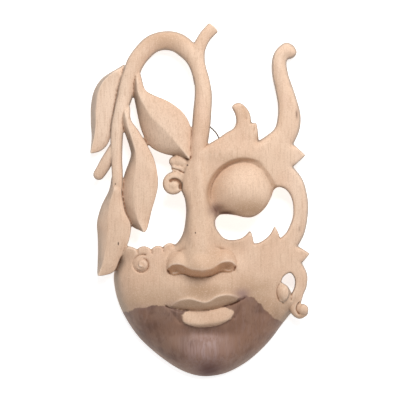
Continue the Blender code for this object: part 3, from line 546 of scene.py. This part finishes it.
def tubeAlong(name, line, roundness):
    curve = bpy.data.curves.new(name, "CURVE")
    curve.dimensions = "3D"
    curve.bevel_depth = 1
    curve.bevel_resolution = roundness
    curve.use_fill_caps = True
    spline = curve.splines.new("POLY")
    spline.points.add(len(line) - 1)
    for point, (x, y, z, radius) in zip(spline.points, line * mm):
        point.co = (x, y, z, 1)
        point.radius = radius
    piece = bpy.data.objects.new(name, curve)
    bpy.context.scene.collection.objects.link(piece)
    return piece


def addBranch(name, path, roundStop=False):
    line = smoothLine(path, 1.2)
    height = blockFront(line[:, 0], line[:, 1]) + line[:, 3] - line[:, 2]
    line = np.column_stack([line[:, :2], height, line[:, 2]])
    return tubeAlong(name, roundedEnd(line) if roundStop else line, 10)


def curlPath(form):
    path = []
    for turned in range(0, form["turn"] + 1, 12):
        share = turned / form["turn"]
        angle = math.radians(form["start"] + turned)
        radius = form["outer"] + (form["inner"] - form["outer"]) * share
        x = form["centre"][0] + radius * math.cos(angle)
        y = form["centre"][1] + radius * math.sin(angle)
        path.append((x, y, form["thickness"] * (1 - form["thinning"] * share), form["lift"]))
    return path


def addKnob(name, x, y, radiusX, radiusY, radiusZ, lift):
    height = float(blockFront(x, y)) + lift - radiusZ
    bpy.ops.object.select_all(action="DESELECT")
    bpy.ops.mesh.primitive_uv_sphere_add(segments=48, ring_count=24, location=(x * mm, y * mm, height * mm),
                                         scale=(radiusX * mm, radiusY * mm, radiusZ * mm))
    bpy.context.object.name = name
    return bpy.context.object


leafShape = {
    "stations": 130, "steps": 14, "slopes": {"edge": 1.45, "inner": 0.65}, "bulge": 0.7, "wornEdge": 1.2,
    "fullWidth": 16, "stalk": 0.13, "stalkSink": 5.5,
}


def addLeaf(name, form):
    stations = leafShape["stations"]
    share = np.linspace(0, 1, stations)
    lines = {}
    for key in ("edge", "rib", "inner"):
        line = smoothLine(form[key], 1)
        run = runAlong(line)
        lines[key] = np.column_stack([np.interp(share * run[-1], run, line[:, k]) for k in (0, 1)])
    ridge, thickness = carving["leafRidge"], carving["leafThickness"]
    steps = np.linspace(0, 1, leafShape["steps"])
    across = [("edge", t) for t in steps] + [("inner", t) for t in steps[-2::-1]]
    narrow = np.clip(np.linalg.norm(lines["inner"] - lines["edge"], axis=1) / leafShape["fullWidth"], 0, 1)
    # the stalk grows out of the branch
    sunk = leafShape["stalkSink"] * ease(leafShape["stalk"], 0, share)
    rows = []
    for half, t in across:
        place = lines[half] + (lines["rib"] - lines[half]) * t
        keel = ridge * (t - 1) * leafShape["slopes"][half] + leafShape["bulge"] * math.sin(math.pi * t)
        keel = keel - leafShape["wornEdge"] * (1 - t) ** 6
        rows.append(np.column_stack([place, blockFront(*place.T) + form["lift"] + keel * narrow - sunk]))
    top = np.stack(rows, axis=1)
    bottom = top.copy()
    bottom[:, :, 2] = blockFront(top[:, :, 0], top[:, :, 1]) + form["lift"] - ridge - thickness
    points = np.concatenate([top, bottom[:, ::-1]], axis=1).reshape(-1, 3)
    around = 2 * len(across)
    faces = []
    for s in range(stations - 1):
        for k in range(around):
            a, b = s * around + k, s * around + (k + 1) % around
            faces.append((a, b, b + around, a + around))
    faces.append(tuple(range(around)))
    faces.append(tuple((stations - 1) * around + k for k in range(around - 1, -1, -1)))
    leaf = newMesh(name, points, faces)
    turnFacesOut(leaf)
    return leaf


def buildMask():
    pieces = [
        carveFace(),
        addBranch("stem", [stemRoot] + [row for row in stemLine if row[1] > stemRoot[1]]),
        addBranch("arch", archLine),
        addBranch("stub", stubLine, roundStop=True),
        addBranch("browLobe", browLobe, roundStop=True),
        addBranch("browFold", browFold, roundStop=True),
        addBranch("browCurl", curlPath(browCurl), roundStop=True),
        addBranch("earCurl", earCurl, roundStop=True),
    ]
    pieces += [addKnob(name, *sizes) for name, sizes in knobs.items()]
    pieces += [addLeaf(name, form) for name, form in leafForms.items()]
    print("forms carved")
    selectOnly(*pieces)
    bpy.ops.object.convert(target="MESH")
    bpy.ops.object.join()
    carved = bpy.context.object
    bpy.ops.object.transform_apply(location=True, rotation=True, scale=True)
    carved.name = carved.data.name = "carvedMask"
    applyModifier(carved, "REMESH", mode="VOXEL", voxel_size=carving["voxel"] * mm)
    applyModifier(carved, "SMOOTH", factor=0.5, iterations=1)
    print("wood fused:", len(carved.data.polygons), "faces")
    handFinish(carved)
    ratio = min(1, carving["mostTriangles"] / (2 * len(carved.data.polygons)))
    applyModifier(carved, "DECIMATE", ratio=ratio)
    print("wood thinned:", len(carved.data.polygons), "faces")
    selectOnly(carved)
    bpy.ops.object.mode_set(mode="EDIT")
    bpy.ops.mesh.select_all(action="SELECT")
    bpy.ops.mesh.bisect(plane_co=(0, 0, 0), plane_no=(0, 0, 1), use_fill=True, clear_inner=True,
                        threshold=1e-7)
    bpy.ops.object.mode_set(mode="OBJECT")
    bpy.ops.object.shade_smooth_by_angle(angle=math.radians(40))
    return carved


def readPoints(mesh):
    flat = np.empty(3 * len(mesh.vertices))
    mesh.vertices.foreach_get("co", flat)
    return flat.reshape(-1, 3)


def readNormals(mesh):
    flat = np.empty(3 * len(mesh.vertices))
    mesh.vertex_normals.foreach_get("vector", flat)
    return flat.reshape(-1, 3)


def handFinish(carved):
    # sanding by hand leaves the surface a little uneven, and the last lines are cut into it
    points, normals = readPoints(carved.data), readNormals(carved.data)
    x, y, z = (points / mm).T
    wave = ripple(x + z, y - z, 0.7, 9) + 0.6 * ripple(x - z, y + z, 2.1, 4.5)
    push = carving["unevenness"] * wave * ease(0.5, 3, z)
    facing = ease(0.1, 0.5, normals[:, 2])
    for line, width, depth in fineCuts:
        near = np.flatnonzero((np.hypot(x - line[0][0], y - line[0][1]) < 25) & (facing > 0))
        away = distanceTo(smoothLine(line, 0.5), x[near], y[near])
        push[near] -= depth * facing[near] * bell(away, width)
    points += normals * (push * mm)[:, None]
    carved.data.vertices.foreach_set("co", points.ravel())
    carved.data.update()


# Edge of the dark heartwood, from the left cheek to the right one, where it leaves the line of the mouth
heartEdge = {
    "left": [(-90, -109), (-82.7, -107.8), (-71.8, -106.7), (-62.8, -103.5), (-50.9, -102.1), (-49.1, -100.3),
             (-40.1, -99.4), (-31.8, -100.3)],
    "right": [(33.5, -97), (38, -92.5), (42, -90.6), (47.9, -91), (54.6, -96.3), (61.4, -104), (68.2, -110.8),
              (80.8, -118.8), (92, -127)],
}
# Soft spots: x, y, reach along x and y, strength
woodMarks = {
    # stains, knots and heartwood patches, and a painted shadow along the lid's lower edge at (25, -12.2)
    "stainAndPaintedShadow": [(18, -10, 7, 5, 0.45), (25, -12.2, 8, 2.6, 1), (15.5, -13.5, 2.6, 5, 0.7),
              (27, -38, 10, 4, 0.22), (-38, -121, 11, 10, 0.45), (-22, -150, 12, 8, 0.25),
              (72, -112, 5, 10, 0.3), (57, -103, 7, 6, 0.25), (91.9, 81.5, 1.1, 4, 0.75),
              (94, -27.6, 1.1, 2, 0.6)],
    "haze": [(40, -88.5, 7, 5, 0.85), (15, -9, 6, 6, 0.6), (-56, -101, 12, 3, 0.3), (-27, -98, 8, 3, 0.3)],
    # painted fill light, paler and less saturated, on the vine, the temple and the shaded half of the middle
    # leaf
    "paintedFillLight": [(-84, 85, 26, 60, 1), (96, 12, 14, 50, 0.8), (76, 135, 14, 22, 0.7), (40, -56, 13, 12, 0.4),
                 (-36, 62, 18, 22, 0.6)],
    # tan tone, with painted shade along the lid's lower edge at (50, -9) and on top of the arch at (-33, 154)
    "tanAndPaintedShade": [(2, -66, 34, 36, 0.4), (4, -86, 24, 9, 0.9), (-33, 154, 26, 8, 0.55), (-62, -92, 20, 8, 0.3),
            (-2, -20, 13, 30, 0.3), (50, -9, 24, 9, 0.8), (12, 10, 8, 20, 0.4), (38, 38, 22, 5, 0.35),
            (-24, 42, 18, 5, 0.4), (42, 83, 6, 7, 0.4), (52, -84, 18, 9, 0.6)],
    "sheen": [(5, -142, 19, 17, 1)],
    "low": [(9, -163, 13, 9, 1)],
}
# How strongly the wood is toned: near the heartwood and on the lower lip, and by its form, with painted shade
# in the eye socket, on undersides, under the nose and in creases, and a painted highlight on the upper lip's
# edge
tones = {"nearHeart": 0.55, "lowerLip": 0.15, "hollow": 0.35, "hollowShadeByNose": 0.2, "under": 0.55,
         "underNoseShade": 0.75, "lipEdgeHighlight": 0.45, "creaseShading": 5}


def creaseOf(mesh):
    # how hollow the surface is round each point, from -1 on edges to 1 in grooves
    points, normals = readPoints(mesh), readNormals(mesh)
    pairs = np.empty(2 * len(mesh.edges), int)
    mesh.edges.foreach_get("vertices", pairs)
    a, b = pairs.reshape(-1, 2).T
    along = points[b] - points[a]
    length = np.linalg.norm(along, axis=1) + 1e-9
    count = len(points)
    ties = np.bincount(a, minlength=count) + np.bincount(b, minlength=count)
    bend = np.bincount(a, (normals[a] * along).sum(1) / length, minlength=count)
    bend -= np.bincount(b, (normals[b] * along).sum(1) / length, minlength=count)
    bend /= np.maximum(ties, 1)
    for _ in range(3):
        near = np.bincount(a, bend[b], minlength=count) + np.bincount(b, bend[a], minlength=count)
        bend = 0.4 * bend + 0.6 * near / np.maximum(ties, 1)
    return bend


def addAttribute(mesh, name, values):
    attribute = mesh.attributes.new(name, "FLOAT", "POINT")
    attribute.data.foreach_set("value", np.asarray(values, np.float32))


def softSpots(x, y, spots):
    made = np.zeros(len(x))
    for *place, strength in spots:
        made = np.maximum(made, strength * bellAt(x, y, *place))
    return made


def markWood(carved):
    mesh = carved.data
    x, y, z = (readPoints(mesh) / mm).T
    normals = readNormals(mesh)
    spots = {name: softSpots(x, y, places) for name, places in woodMarks.items()}
    left, right = (np.array(heartEdge[side]) for side in ("left", "right"))
    u, v = mouthPlace(x, y)
    edge = np.where(x < 0, np.interp(x, *left.T), np.interp(x, *right.T))
    edge = np.where((x > left[-1, 0]) & (x < right[0, 0]), y - v, edge)
    heart = edge - y
    lipReach = lowerLipReach(u, v)
    nearHeart = np.where(lipReach < 1.05, tones["lowerLip"], tones["nearHeart"] * ease(-34, -4, heart))
    # the lower lip stays pale
    heart = np.minimum(heart, np.where(z > 20, 9 * (lipReach - 1.02), 9))
    addAttribute(mesh, "heart", np.clip(heart, -40, 40))
    eye, middle = ovalReach(x, y, socket), np.hypot((x - 4) / 46, (y + 86) / 44)
    inFace = np.maximum(ease(1.15, 1, eye) * ease(-20, -10, y), ease(1.1, 1, middle))
    # painted shade just inside the rim of the eye socket, stronger towards the nose
    hollow = ease(1.01, 0.97, eye) * ease(0.72, 0.96, eye) * ease(-18, -8, y)
    hollow = hollow * (tones["hollow"] + tones["hollowShadeByNose"] * ease(30, 5, x))
    # painted shade on the parts of the face that face downwards
    under = tones["under"] * ease(-0.2, -0.65, normals[:, 1]) * inFace * ease(-2, 0, v)
    # tan tone together with the painted shade in the eye socket and on the undersides
    spots["tanAndPaintedShade"] = np.max([spots["tanAndPaintedShade"], nearHeart, hollow, under], axis=0)
    # painted shade, warm brown, on the underside of the nose
    underNoseShade = ease(-0.15, -0.55, normals[:, 1]) * inFace * ease(13, 18, v) * (eye > 1.1)
    # painted highlight along the edge of the upper lip
    lipEdgeHighlight = bell(v - lipBow(np.abs(u)) - 0.3, 0.9) * ease(36, 26, np.abs(u))
    spots["warmPaintedShade"] = tones["underNoseShade"] * underNoseShade
    spots["paintedLipHighlight"] = tones["lipEdgeHighlight"] * lipEdgeHighlight
    # painted shade on the steep sides, outside the middle of the face
    spots["side"] = ease(0.72, 0.3, normals[:, 2]) * (1 - inFace)
    # painted shade in creases and painted highlight on ridges, from how hollow the surface is
    spots["creaseShading"] = np.clip(tones["creaseShading"] * creaseOf(mesh), -1, 1)
    for name, values in spots.items():
        addAttribute(mesh, name, values)


class NodeBench:
    # adds and joins the nodes of one material
    def __init__(self, name):
        self.material = bpy.data.materials.new(name)
        self.material.use_nodes = True
        self.tree = self.material.node_tree
        self.shader = self.tree.nodes["Principled BSDF"]

    def add(self, kind, inputs=None, **settings):
        node = self.tree.nodes.new(kind)
        for key, value in settings.items():
            setattr(node, key, value)
        for key, value in (inputs or {}).items():
            if isinstance(value, bpy.types.NodeSocket):
                self.tree.links.new(value, node.inputs[key])
            else:
                node.inputs[key].default_value = value
        return node

    def join(self, output, target):
        self.tree.links.new(output, target)

    def mix(self, amount, first, second, blend="MIX"):
        node = self.add("ShaderNodeMix", data_type="RGBA", blend_type=blend)
        for socket, value in ((node.inputs[0], amount), (node.inputs[6], first), (node.inputs[7], second)):
            if isinstance(value, bpy.types.NodeSocket):
                self.tree.links.new(value, socket)
            else:
                socket.default_value = value
        return node.outputs[2]

    def maths(self, operation, first, second, third=0.0):
        return self.add("ShaderNodeMath", {0: first, 1: second, 2: third}, operation=operation).outputs[0]

    def spread(self, value, low, high, bottom=0.0, top=1.0):
        node = self.add("ShaderNodeMapRange", {0: value, 1: low, 2: high, 3: bottom, 4: top},
                        interpolation_type="SMOOTHSTEP")
        return node.outputs[0]

    def noise(self, place, scale, detail=3.0, roughness=0.55):
        values = {"Vector": place, "Scale": scale, "Detail": detail, "Roughness": roughness}
        return self.add("ShaderNodeTexNoise", values).outputs[0]

    def value(self, name):
        return self.add("ShaderNodeAttribute", attribute_name=name).outputs["Fac"]


# The wood: colours are linear
woodLook = {
    "pale": (0.800, 0.575, 0.420, 1), "paleDeep": (0.720, 0.485, 0.340, 1),
    "palePink": (0.790, 0.545, 0.400, 1), "fibre": (0.540, 0.345, 0.225, 1),
    # the tan colour is also painted shade, warm is painted shade under the nose, and side is painted shade on
    # steep sides
    "tanAndPaintedShade": (0.470, 0.285, 0.165, 1), "warmPaintedShade": (0.600, 0.290, 0.140, 1), "side": (0.270, 0.210, 0.165, 1),
    # the first colour is the painted fill light; the second is pale sanded grain that also paints highlights
    "paintedFillLight": (0.860, 0.650, 0.500, 1), "sanded": (0.900, 0.700, 0.550, 1),
    # the first colour on the line below is the painted shade in creases
    "creaseShadeBrown": (0.300, 0.170, 0.095, 1), "haze": (0.360, 0.225, 0.200, 1),
    "dark": (0.290, 0.175, 0.125, 1), "darkBrown": (0.150, 0.080, 0.058, 1),
    "darkWarm": (0.320, 0.170, 0.110, 1), "darkGrey": (0.410, 0.275, 0.250, 1),
    "darkLow": (0.085, 0.010, 0.003, 1),
    # the first colour is for stains and for the painted shadow under the lid
    "stainAndPaintedShadow": (0.150, 0.070, 0.045, 1), "knot": (0.070, 0.035, 0.022, 1),
    "roughness": 0.62, "darkSmoother": 0.06, "specular": 0.28, "bump": 0.35, "bumpHeight": 0.0004,
    "edgeWander": 8.0,  # millimetres that the edge of the heartwood wanders
}
# Noises: squeeze along the grain, scale, detail, roughness
woodGrain = {
    "fibres": (0.06, 950, 4, 0.65), "coarse": (0.06, 380, 3, 0.55), "streaks": (0.16, 85, 3, 0.55),
    "speckle": (1, 850, 2, 0.7), "clouds": (1, 22, 3, 0.55), "pinks": (1, 38, 2, 0.55),
    "blotches": (1, 48, 3, 0.55), "wander": (1, 130, 4, 0.65),
}
# Layers of colour, one over the other: pattern, colour, where it starts and is full, how much at most
# some layers paint light: fill light, shade in hollows and under things, and highlights on the lip and on
# ridges
paleLayers = [
    ("clouds", "paleDeep", 0.38, 0.68, 1), ("pinks", "palePink", 0.5, 0.75, 0.7), ("paintedFillLight", "paintedFillLight"),
    # painted shade from the tan and warm layers, and the painted highlight on the upper lip's edge
    ("tanAndPaintedShade", "tanAndPaintedShade"), ("warmPaintedShade", "warmPaintedShade"), ("paintedLipHighlight", "sanded"), ("streaks", "paleDeep", 0.5, 0.72, 0.3),
    ("coarse", "fibre", 0.5, 0.75, 0.26), ("fibres", "fibre", 0.48, 0.7, 0.5),
    ("speckle", "fibre", 0.52, 0.72, 0.42), ("speckle", "sanded", 0.48, 0.28, 0.42),
    # painted highlight on ridges
    ("creaseShading", "sanded", -0.15, -0.6, 0.6),
]
darkLayers = [
    ("streaks", "darkBrown", 0.4, 0.66, 0.55), ("blotches", "darkBrown", 0.48, 0.64, 0.75),
    ("clouds", "darkWarm", 0.42, 0.62, 0.6), ("sheen", "darkGrey"), ("coarse", "darkGrey", 0.45, 0.7, 0.2),
    ("fibres", "darkBrown", 0.5, 0.72, 0.4), ("low", "darkLow"),
]
knots = [(-77.4, -41.4, 0.6, 1.6), (-80.3, 15.2, 0.45, 1.0), (-4.3, -30.9, 0.6, 0.8), (-11.9, 33, 0.8, 0.8)]


def layered(bench, colour, layers, patterns):
    for pattern, colourName, *limits in layers:
        amount = patterns[pattern]
        if limits:
            low, high, most = limits
            amount = bench.spread(amount, low, high, 0, most)
        colour = bench.mix(amount, colour, woodLook[colourName])
    return colour


def woodMaterial():
    bench = NodeBench("carvedWood")
    place = bench.add("ShaderNodeTexCoord").outputs["Object"]
    patterns = {}
    for name, (squeeze, *values) in woodGrain.items():
        mapping = bench.add("ShaderNodeMapping", {"Vector": place, "Scale": (1, squeeze, 1)})
        patterns[name] = bench.noise(mapping.outputs[0], *values)
    for name in ("heart", "stainAndPaintedShadow", "haze", "paintedFillLight", "tanAndPaintedShade", "warmPaintedShade",
                 "paintedLipHighlight", "side", "creaseShading", "sheen", "low"):
        patterns[name] = bench.value(name)
    fibres, coarse = patterns["fibres"], patterns["coarse"]
    patterns["sheen"] = bench.maths("MULTIPLY", patterns["sheen"], bench.spread(coarse, 0.38, 0.62, 0.45, 1))
    pale = layered(bench, woodLook["pale"], paleLayers, patterns)
    dark = layered(bench, woodLook["dark"], darkLayers, patterns)
    wander = bench.maths("SUBTRACT", patterns["wander"], 0.5)
    heart = bench.maths("MULTIPLY_ADD", wander, woodLook["edgeWander"], patterns["heart"])
    amount = bench.spread(heart, -1.2, 0.6)
    colour = bench.mix(amount, pale, dark)
    colour = bench.mix(patterns["haze"], colour, woodLook["haze"])
    # stains, and the painted shadow under the lid's lower edge
    colour = bench.mix(patterns["stainAndPaintedShadow"], colour, woodLook["stainAndPaintedShadow"])
    for x, y, reachX, reachY in knots:
        near = bench.add("ShaderNodeMapping", {"Vector": place, "Location": (-x / reachX, -y / reachY, 0),
                                               "Scale": (1 / (reachX * mm), 1 / (reachY * mm), 0)}).outputs[0]
        reach = bench.add("ShaderNodeVectorMath", {0: near}, operation="LENGTH").outputs["Value"]
        colour = bench.mix(bench.spread(reach, 1.25, 0.7, 0, 0.9), colour, woodLook["knot"])
    # painted shade in creases
    creaseShading = bench.spread(patterns["creaseShading"], 0.1, 0.75, 0, 0.85)
    colour = bench.mix(creaseShading, colour, woodLook["creaseShadeBrown"], "MULTIPLY")
    # painted shade on the steep sides, weaker on the dark heartwood
    side = bench.maths("MULTIPLY", patterns["side"], bench.spread(amount, 0, 1, 0.7, 0.2))
    colour = bench.mix(side, colour, woodLook["side"])
    bench.join(colour, bench.shader.inputs["Base Color"])
    rough = bench.maths("MULTIPLY_ADD", amount, -woodLook["darkSmoother"], woodLook["roughness"])
    rough = bench.maths("ADD", rough, bench.spread(fibres, 0.3, 0.8, -0.05, 0.06))
    bench.join(rough, bench.shader.inputs["Roughness"])
    bench.shader.inputs["Specular IOR Level"].default_value = woodLook["specular"]
    height = bench.maths("ADD", bench.maths("MULTIPLY", fibres, 0.6), bench.maths("MULTIPLY", coarse, 0.8))
    bump = bench.add("ShaderNodeBump", {"Height": height, "Strength": woodLook["bump"],
                                        "Distance": woodLook["bumpHeight"]})
    bench.join(bump.outputs[0], bench.shader.inputs["Normal"])
    return bench.material


# The hanging wire, in millimetres
wire = {
    "stemFoot": (-1.8, 52), "browFoot": (21, 47), "socket": 6, "clearance": 0.4, "loop": 22, "standOff": 10,
    "proud": 2, "turns": [(-0.02, 0.55), (0.12, 0.9), (0.32, 1), (0.58, 0.84), (0.84, 0.5)],
    "strands": 2, "thickness": 1.8, "twist": 4.2, "strandOffset": 0.255, "strandRadius": 0.245,
}


def wireFeet():
    rows = np.array(stemLine)
    x, y = wire["stemFoot"]
    radius, lift = (np.interp(y, rows[:, 1], rows[:, k]) for k in (2, 3))
    stem = np.array([x, y, float(blockFront(x, y) + lift - 2 * radius)])
    x, y = wire["browFoot"]
    return stem, np.array([x, y, float(blockFront(x, y)) - carving["wall"]])


def wirePath():
    left, right = wireFeet()
    deep = np.array([0, 0, wire["socket"] - wire["clearance"]])
    proud = np.array([0, 0, -wire["proud"]])
    lowest = min(left[2], right[2]) - wire["standOff"]
    span, base = right[0] - left[0], (left[1] + right[1]) / 2
    path = [left + deep, left, left + proud, left + 2 * proud]
    for share, height in wire["turns"]:
        path.append(np.array([left[0] + share * span, base + height * wire["loop"], lowest]))
    path += [right + 2 * proud, right + proud, right, right + deep]
    return smoothLine(path, 0.4)


def buildWire():
    line = wirePath()
    run = runAlong(line)
    along = np.gradient(line, axis=0)
    along /= np.linalg.norm(along, axis=1)[:, None]
    side = np.cross(along, (0.2, 0.1, 1))
    side[0] = side[1]
    side /= np.linalg.norm(side, axis=1)[:, None]
    up = np.cross(along, side)
    strands = []
    for k in range(wire["strands"]):
        angle = 2 * math.pi * (run / wire["twist"] + k / wire["strands"])
        offset = np.cos(angle)[:, None] * side + np.sin(angle)[:, None] * up
        offset = wire["strandOffset"] * wire["thickness"] * offset
        thick = np.full((len(line), 1), wire["strandRadius"] * wire["thickness"])
        strands.append(tubeAlong("strand", np.hstack([line + offset, thick]), 3))
    selectOnly(*strands)
    bpy.ops.object.convert(target="MESH")
    bpy.ops.object.join()
    twisted = bpy.context.object
    twisted.name = twisted.data.name = "hangingWire"
    bpy.ops.object.mode_set(mode="EDIT")
    bpy.ops.mesh.select_all(action="SELECT")
    bpy.ops.mesh.remove_doubles(threshold=0.00001)
    bpy.ops.mesh.normals_make_consistent(inside=False)
    bpy.ops.object.mode_set(mode="OBJECT")
    bpy.ops.object.shade_smooth_by_angle(angle=math.radians(50))
    return twisted


wireLook = {"iron": (0.21, 0.205, 0.185, 1), "rust": (0.18, 0.125, 0.09, 1)}


def wireMaterial():
    bench = NodeBench("ironWire")
    place = bench.add("ShaderNodeTexCoord").outputs["Object"]
    rust = bench.spread(bench.noise(place, 260, 4), 0.52, 0.7, 0, 0.8)
    bench.join(bench.mix(rust, wireLook["iron"], wireLook["rust"]), bench.shader.inputs["Base Color"])
    bench.join(bench.spread(rust, 0, 1, 0.6, 0.1), bench.shader.inputs["Metallic"])
    rough = bench.spread(bench.noise(place, 900, 2), 0.3, 0.7, 0.35, 0.6)
    bench.join(rough, bench.shader.inputs["Roughness"])
    return bench.material


# The studio, in metres
studio = {
    "cameraHeight": 3.2, "frameWidth": 0.380, "frameLevel": 0.02,  # the frame is that wide at this level
    "floorSize": 14, "floorLevel": -0.0002, "floorTones": ((0.93, 0.93, 0.93, 1), (0.95, 0.95, 0.95, 1)),
    "floorRoughness": 0.9, "floorSpecular": 0.1, "floorGlow": 0.65, "world": 0.38,
    "keyLight": {"place": (0.27, 0.82, 1.25), "size": 0.7, "power": 18},
}


def buildStudio():
    bpy.ops.object.select_all(action="DESELECT")
    bpy.ops.mesh.primitive_plane_add(size=studio["floorSize"], location=(0, 0, studio["floorLevel"]))
    floor = bpy.context.object
    floor.name = "floor"
    bench = NodeBench("paleFloor")
    place = bench.add("ShaderNodeTexCoord").outputs["Object"]
    bench.join(bench.mix(bench.noise(place, 3, 2), *studio["floorTones"]), bench.shader.inputs["Base Color"])
    looks = {"Roughness": studio["floorRoughness"], "Specular IOR Level": studio["floorSpecular"],
             "Emission Color": (1, 1, 1, 1), "Emission Strength": studio["floorGlow"]}
    for name, value in looks.items():
        bench.shader.inputs[name].default_value = value
    floor.data.materials.append(bench.material)
    world = bpy.data.worlds.new("studioWorld")
    world.use_nodes = True
    background = world.node_tree.nodes["Background"]
    background.inputs["Color"].default_value = (1, 1, 1, 1)
    background.inputs["Strength"].default_value = studio["world"]
    bpy.context.scene.world = world
    light = bpy.data.lights.new("keyLight", "AREA")
    light.size = studio["keyLight"]["size"]
    light.energy = studio["keyLight"]["power"]
    lamp = bpy.data.objects.new("keyLight", light)
    lamp.location = studio["keyLight"]["place"]
    lamp.rotation_euler = lamp.location.to_track_quat("Z", "Y").to_euler()
    bpy.context.scene.collection.objects.link(lamp)
    camera = bpy.data.cameras.new("camera")
    height = studio["cameraHeight"]
    camera.lens = camera.sensor_width * (height - studio["frameLevel"]) / studio["frameWidth"]
    camera.clip_end = 100
    eye = bpy.data.objects.new("camera", camera)
    eye.location = (0, 0, height)
    bpy.context.scene.collection.objects.link(eye)
    bpy.context.scene.camera = eye
    bpy.context.scene.view_settings.view_transform = "Standard"


buildStudio()
print("studio set")
carvedMask = buildMask()
markWood(carvedMask)
carvedMask.data.materials.clear()
carvedMask.data.materials.append(woodMaterial())
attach(carvedMask, "root")
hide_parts("mask")
print("mask finished:", len(carvedMask.data.polygons), "faces")
hangingWire = buildWire()
hangingWire.data.materials.append(wireMaterial())
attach(hangingWire, "root")
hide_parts("hanging_wire")
print("wire finished")
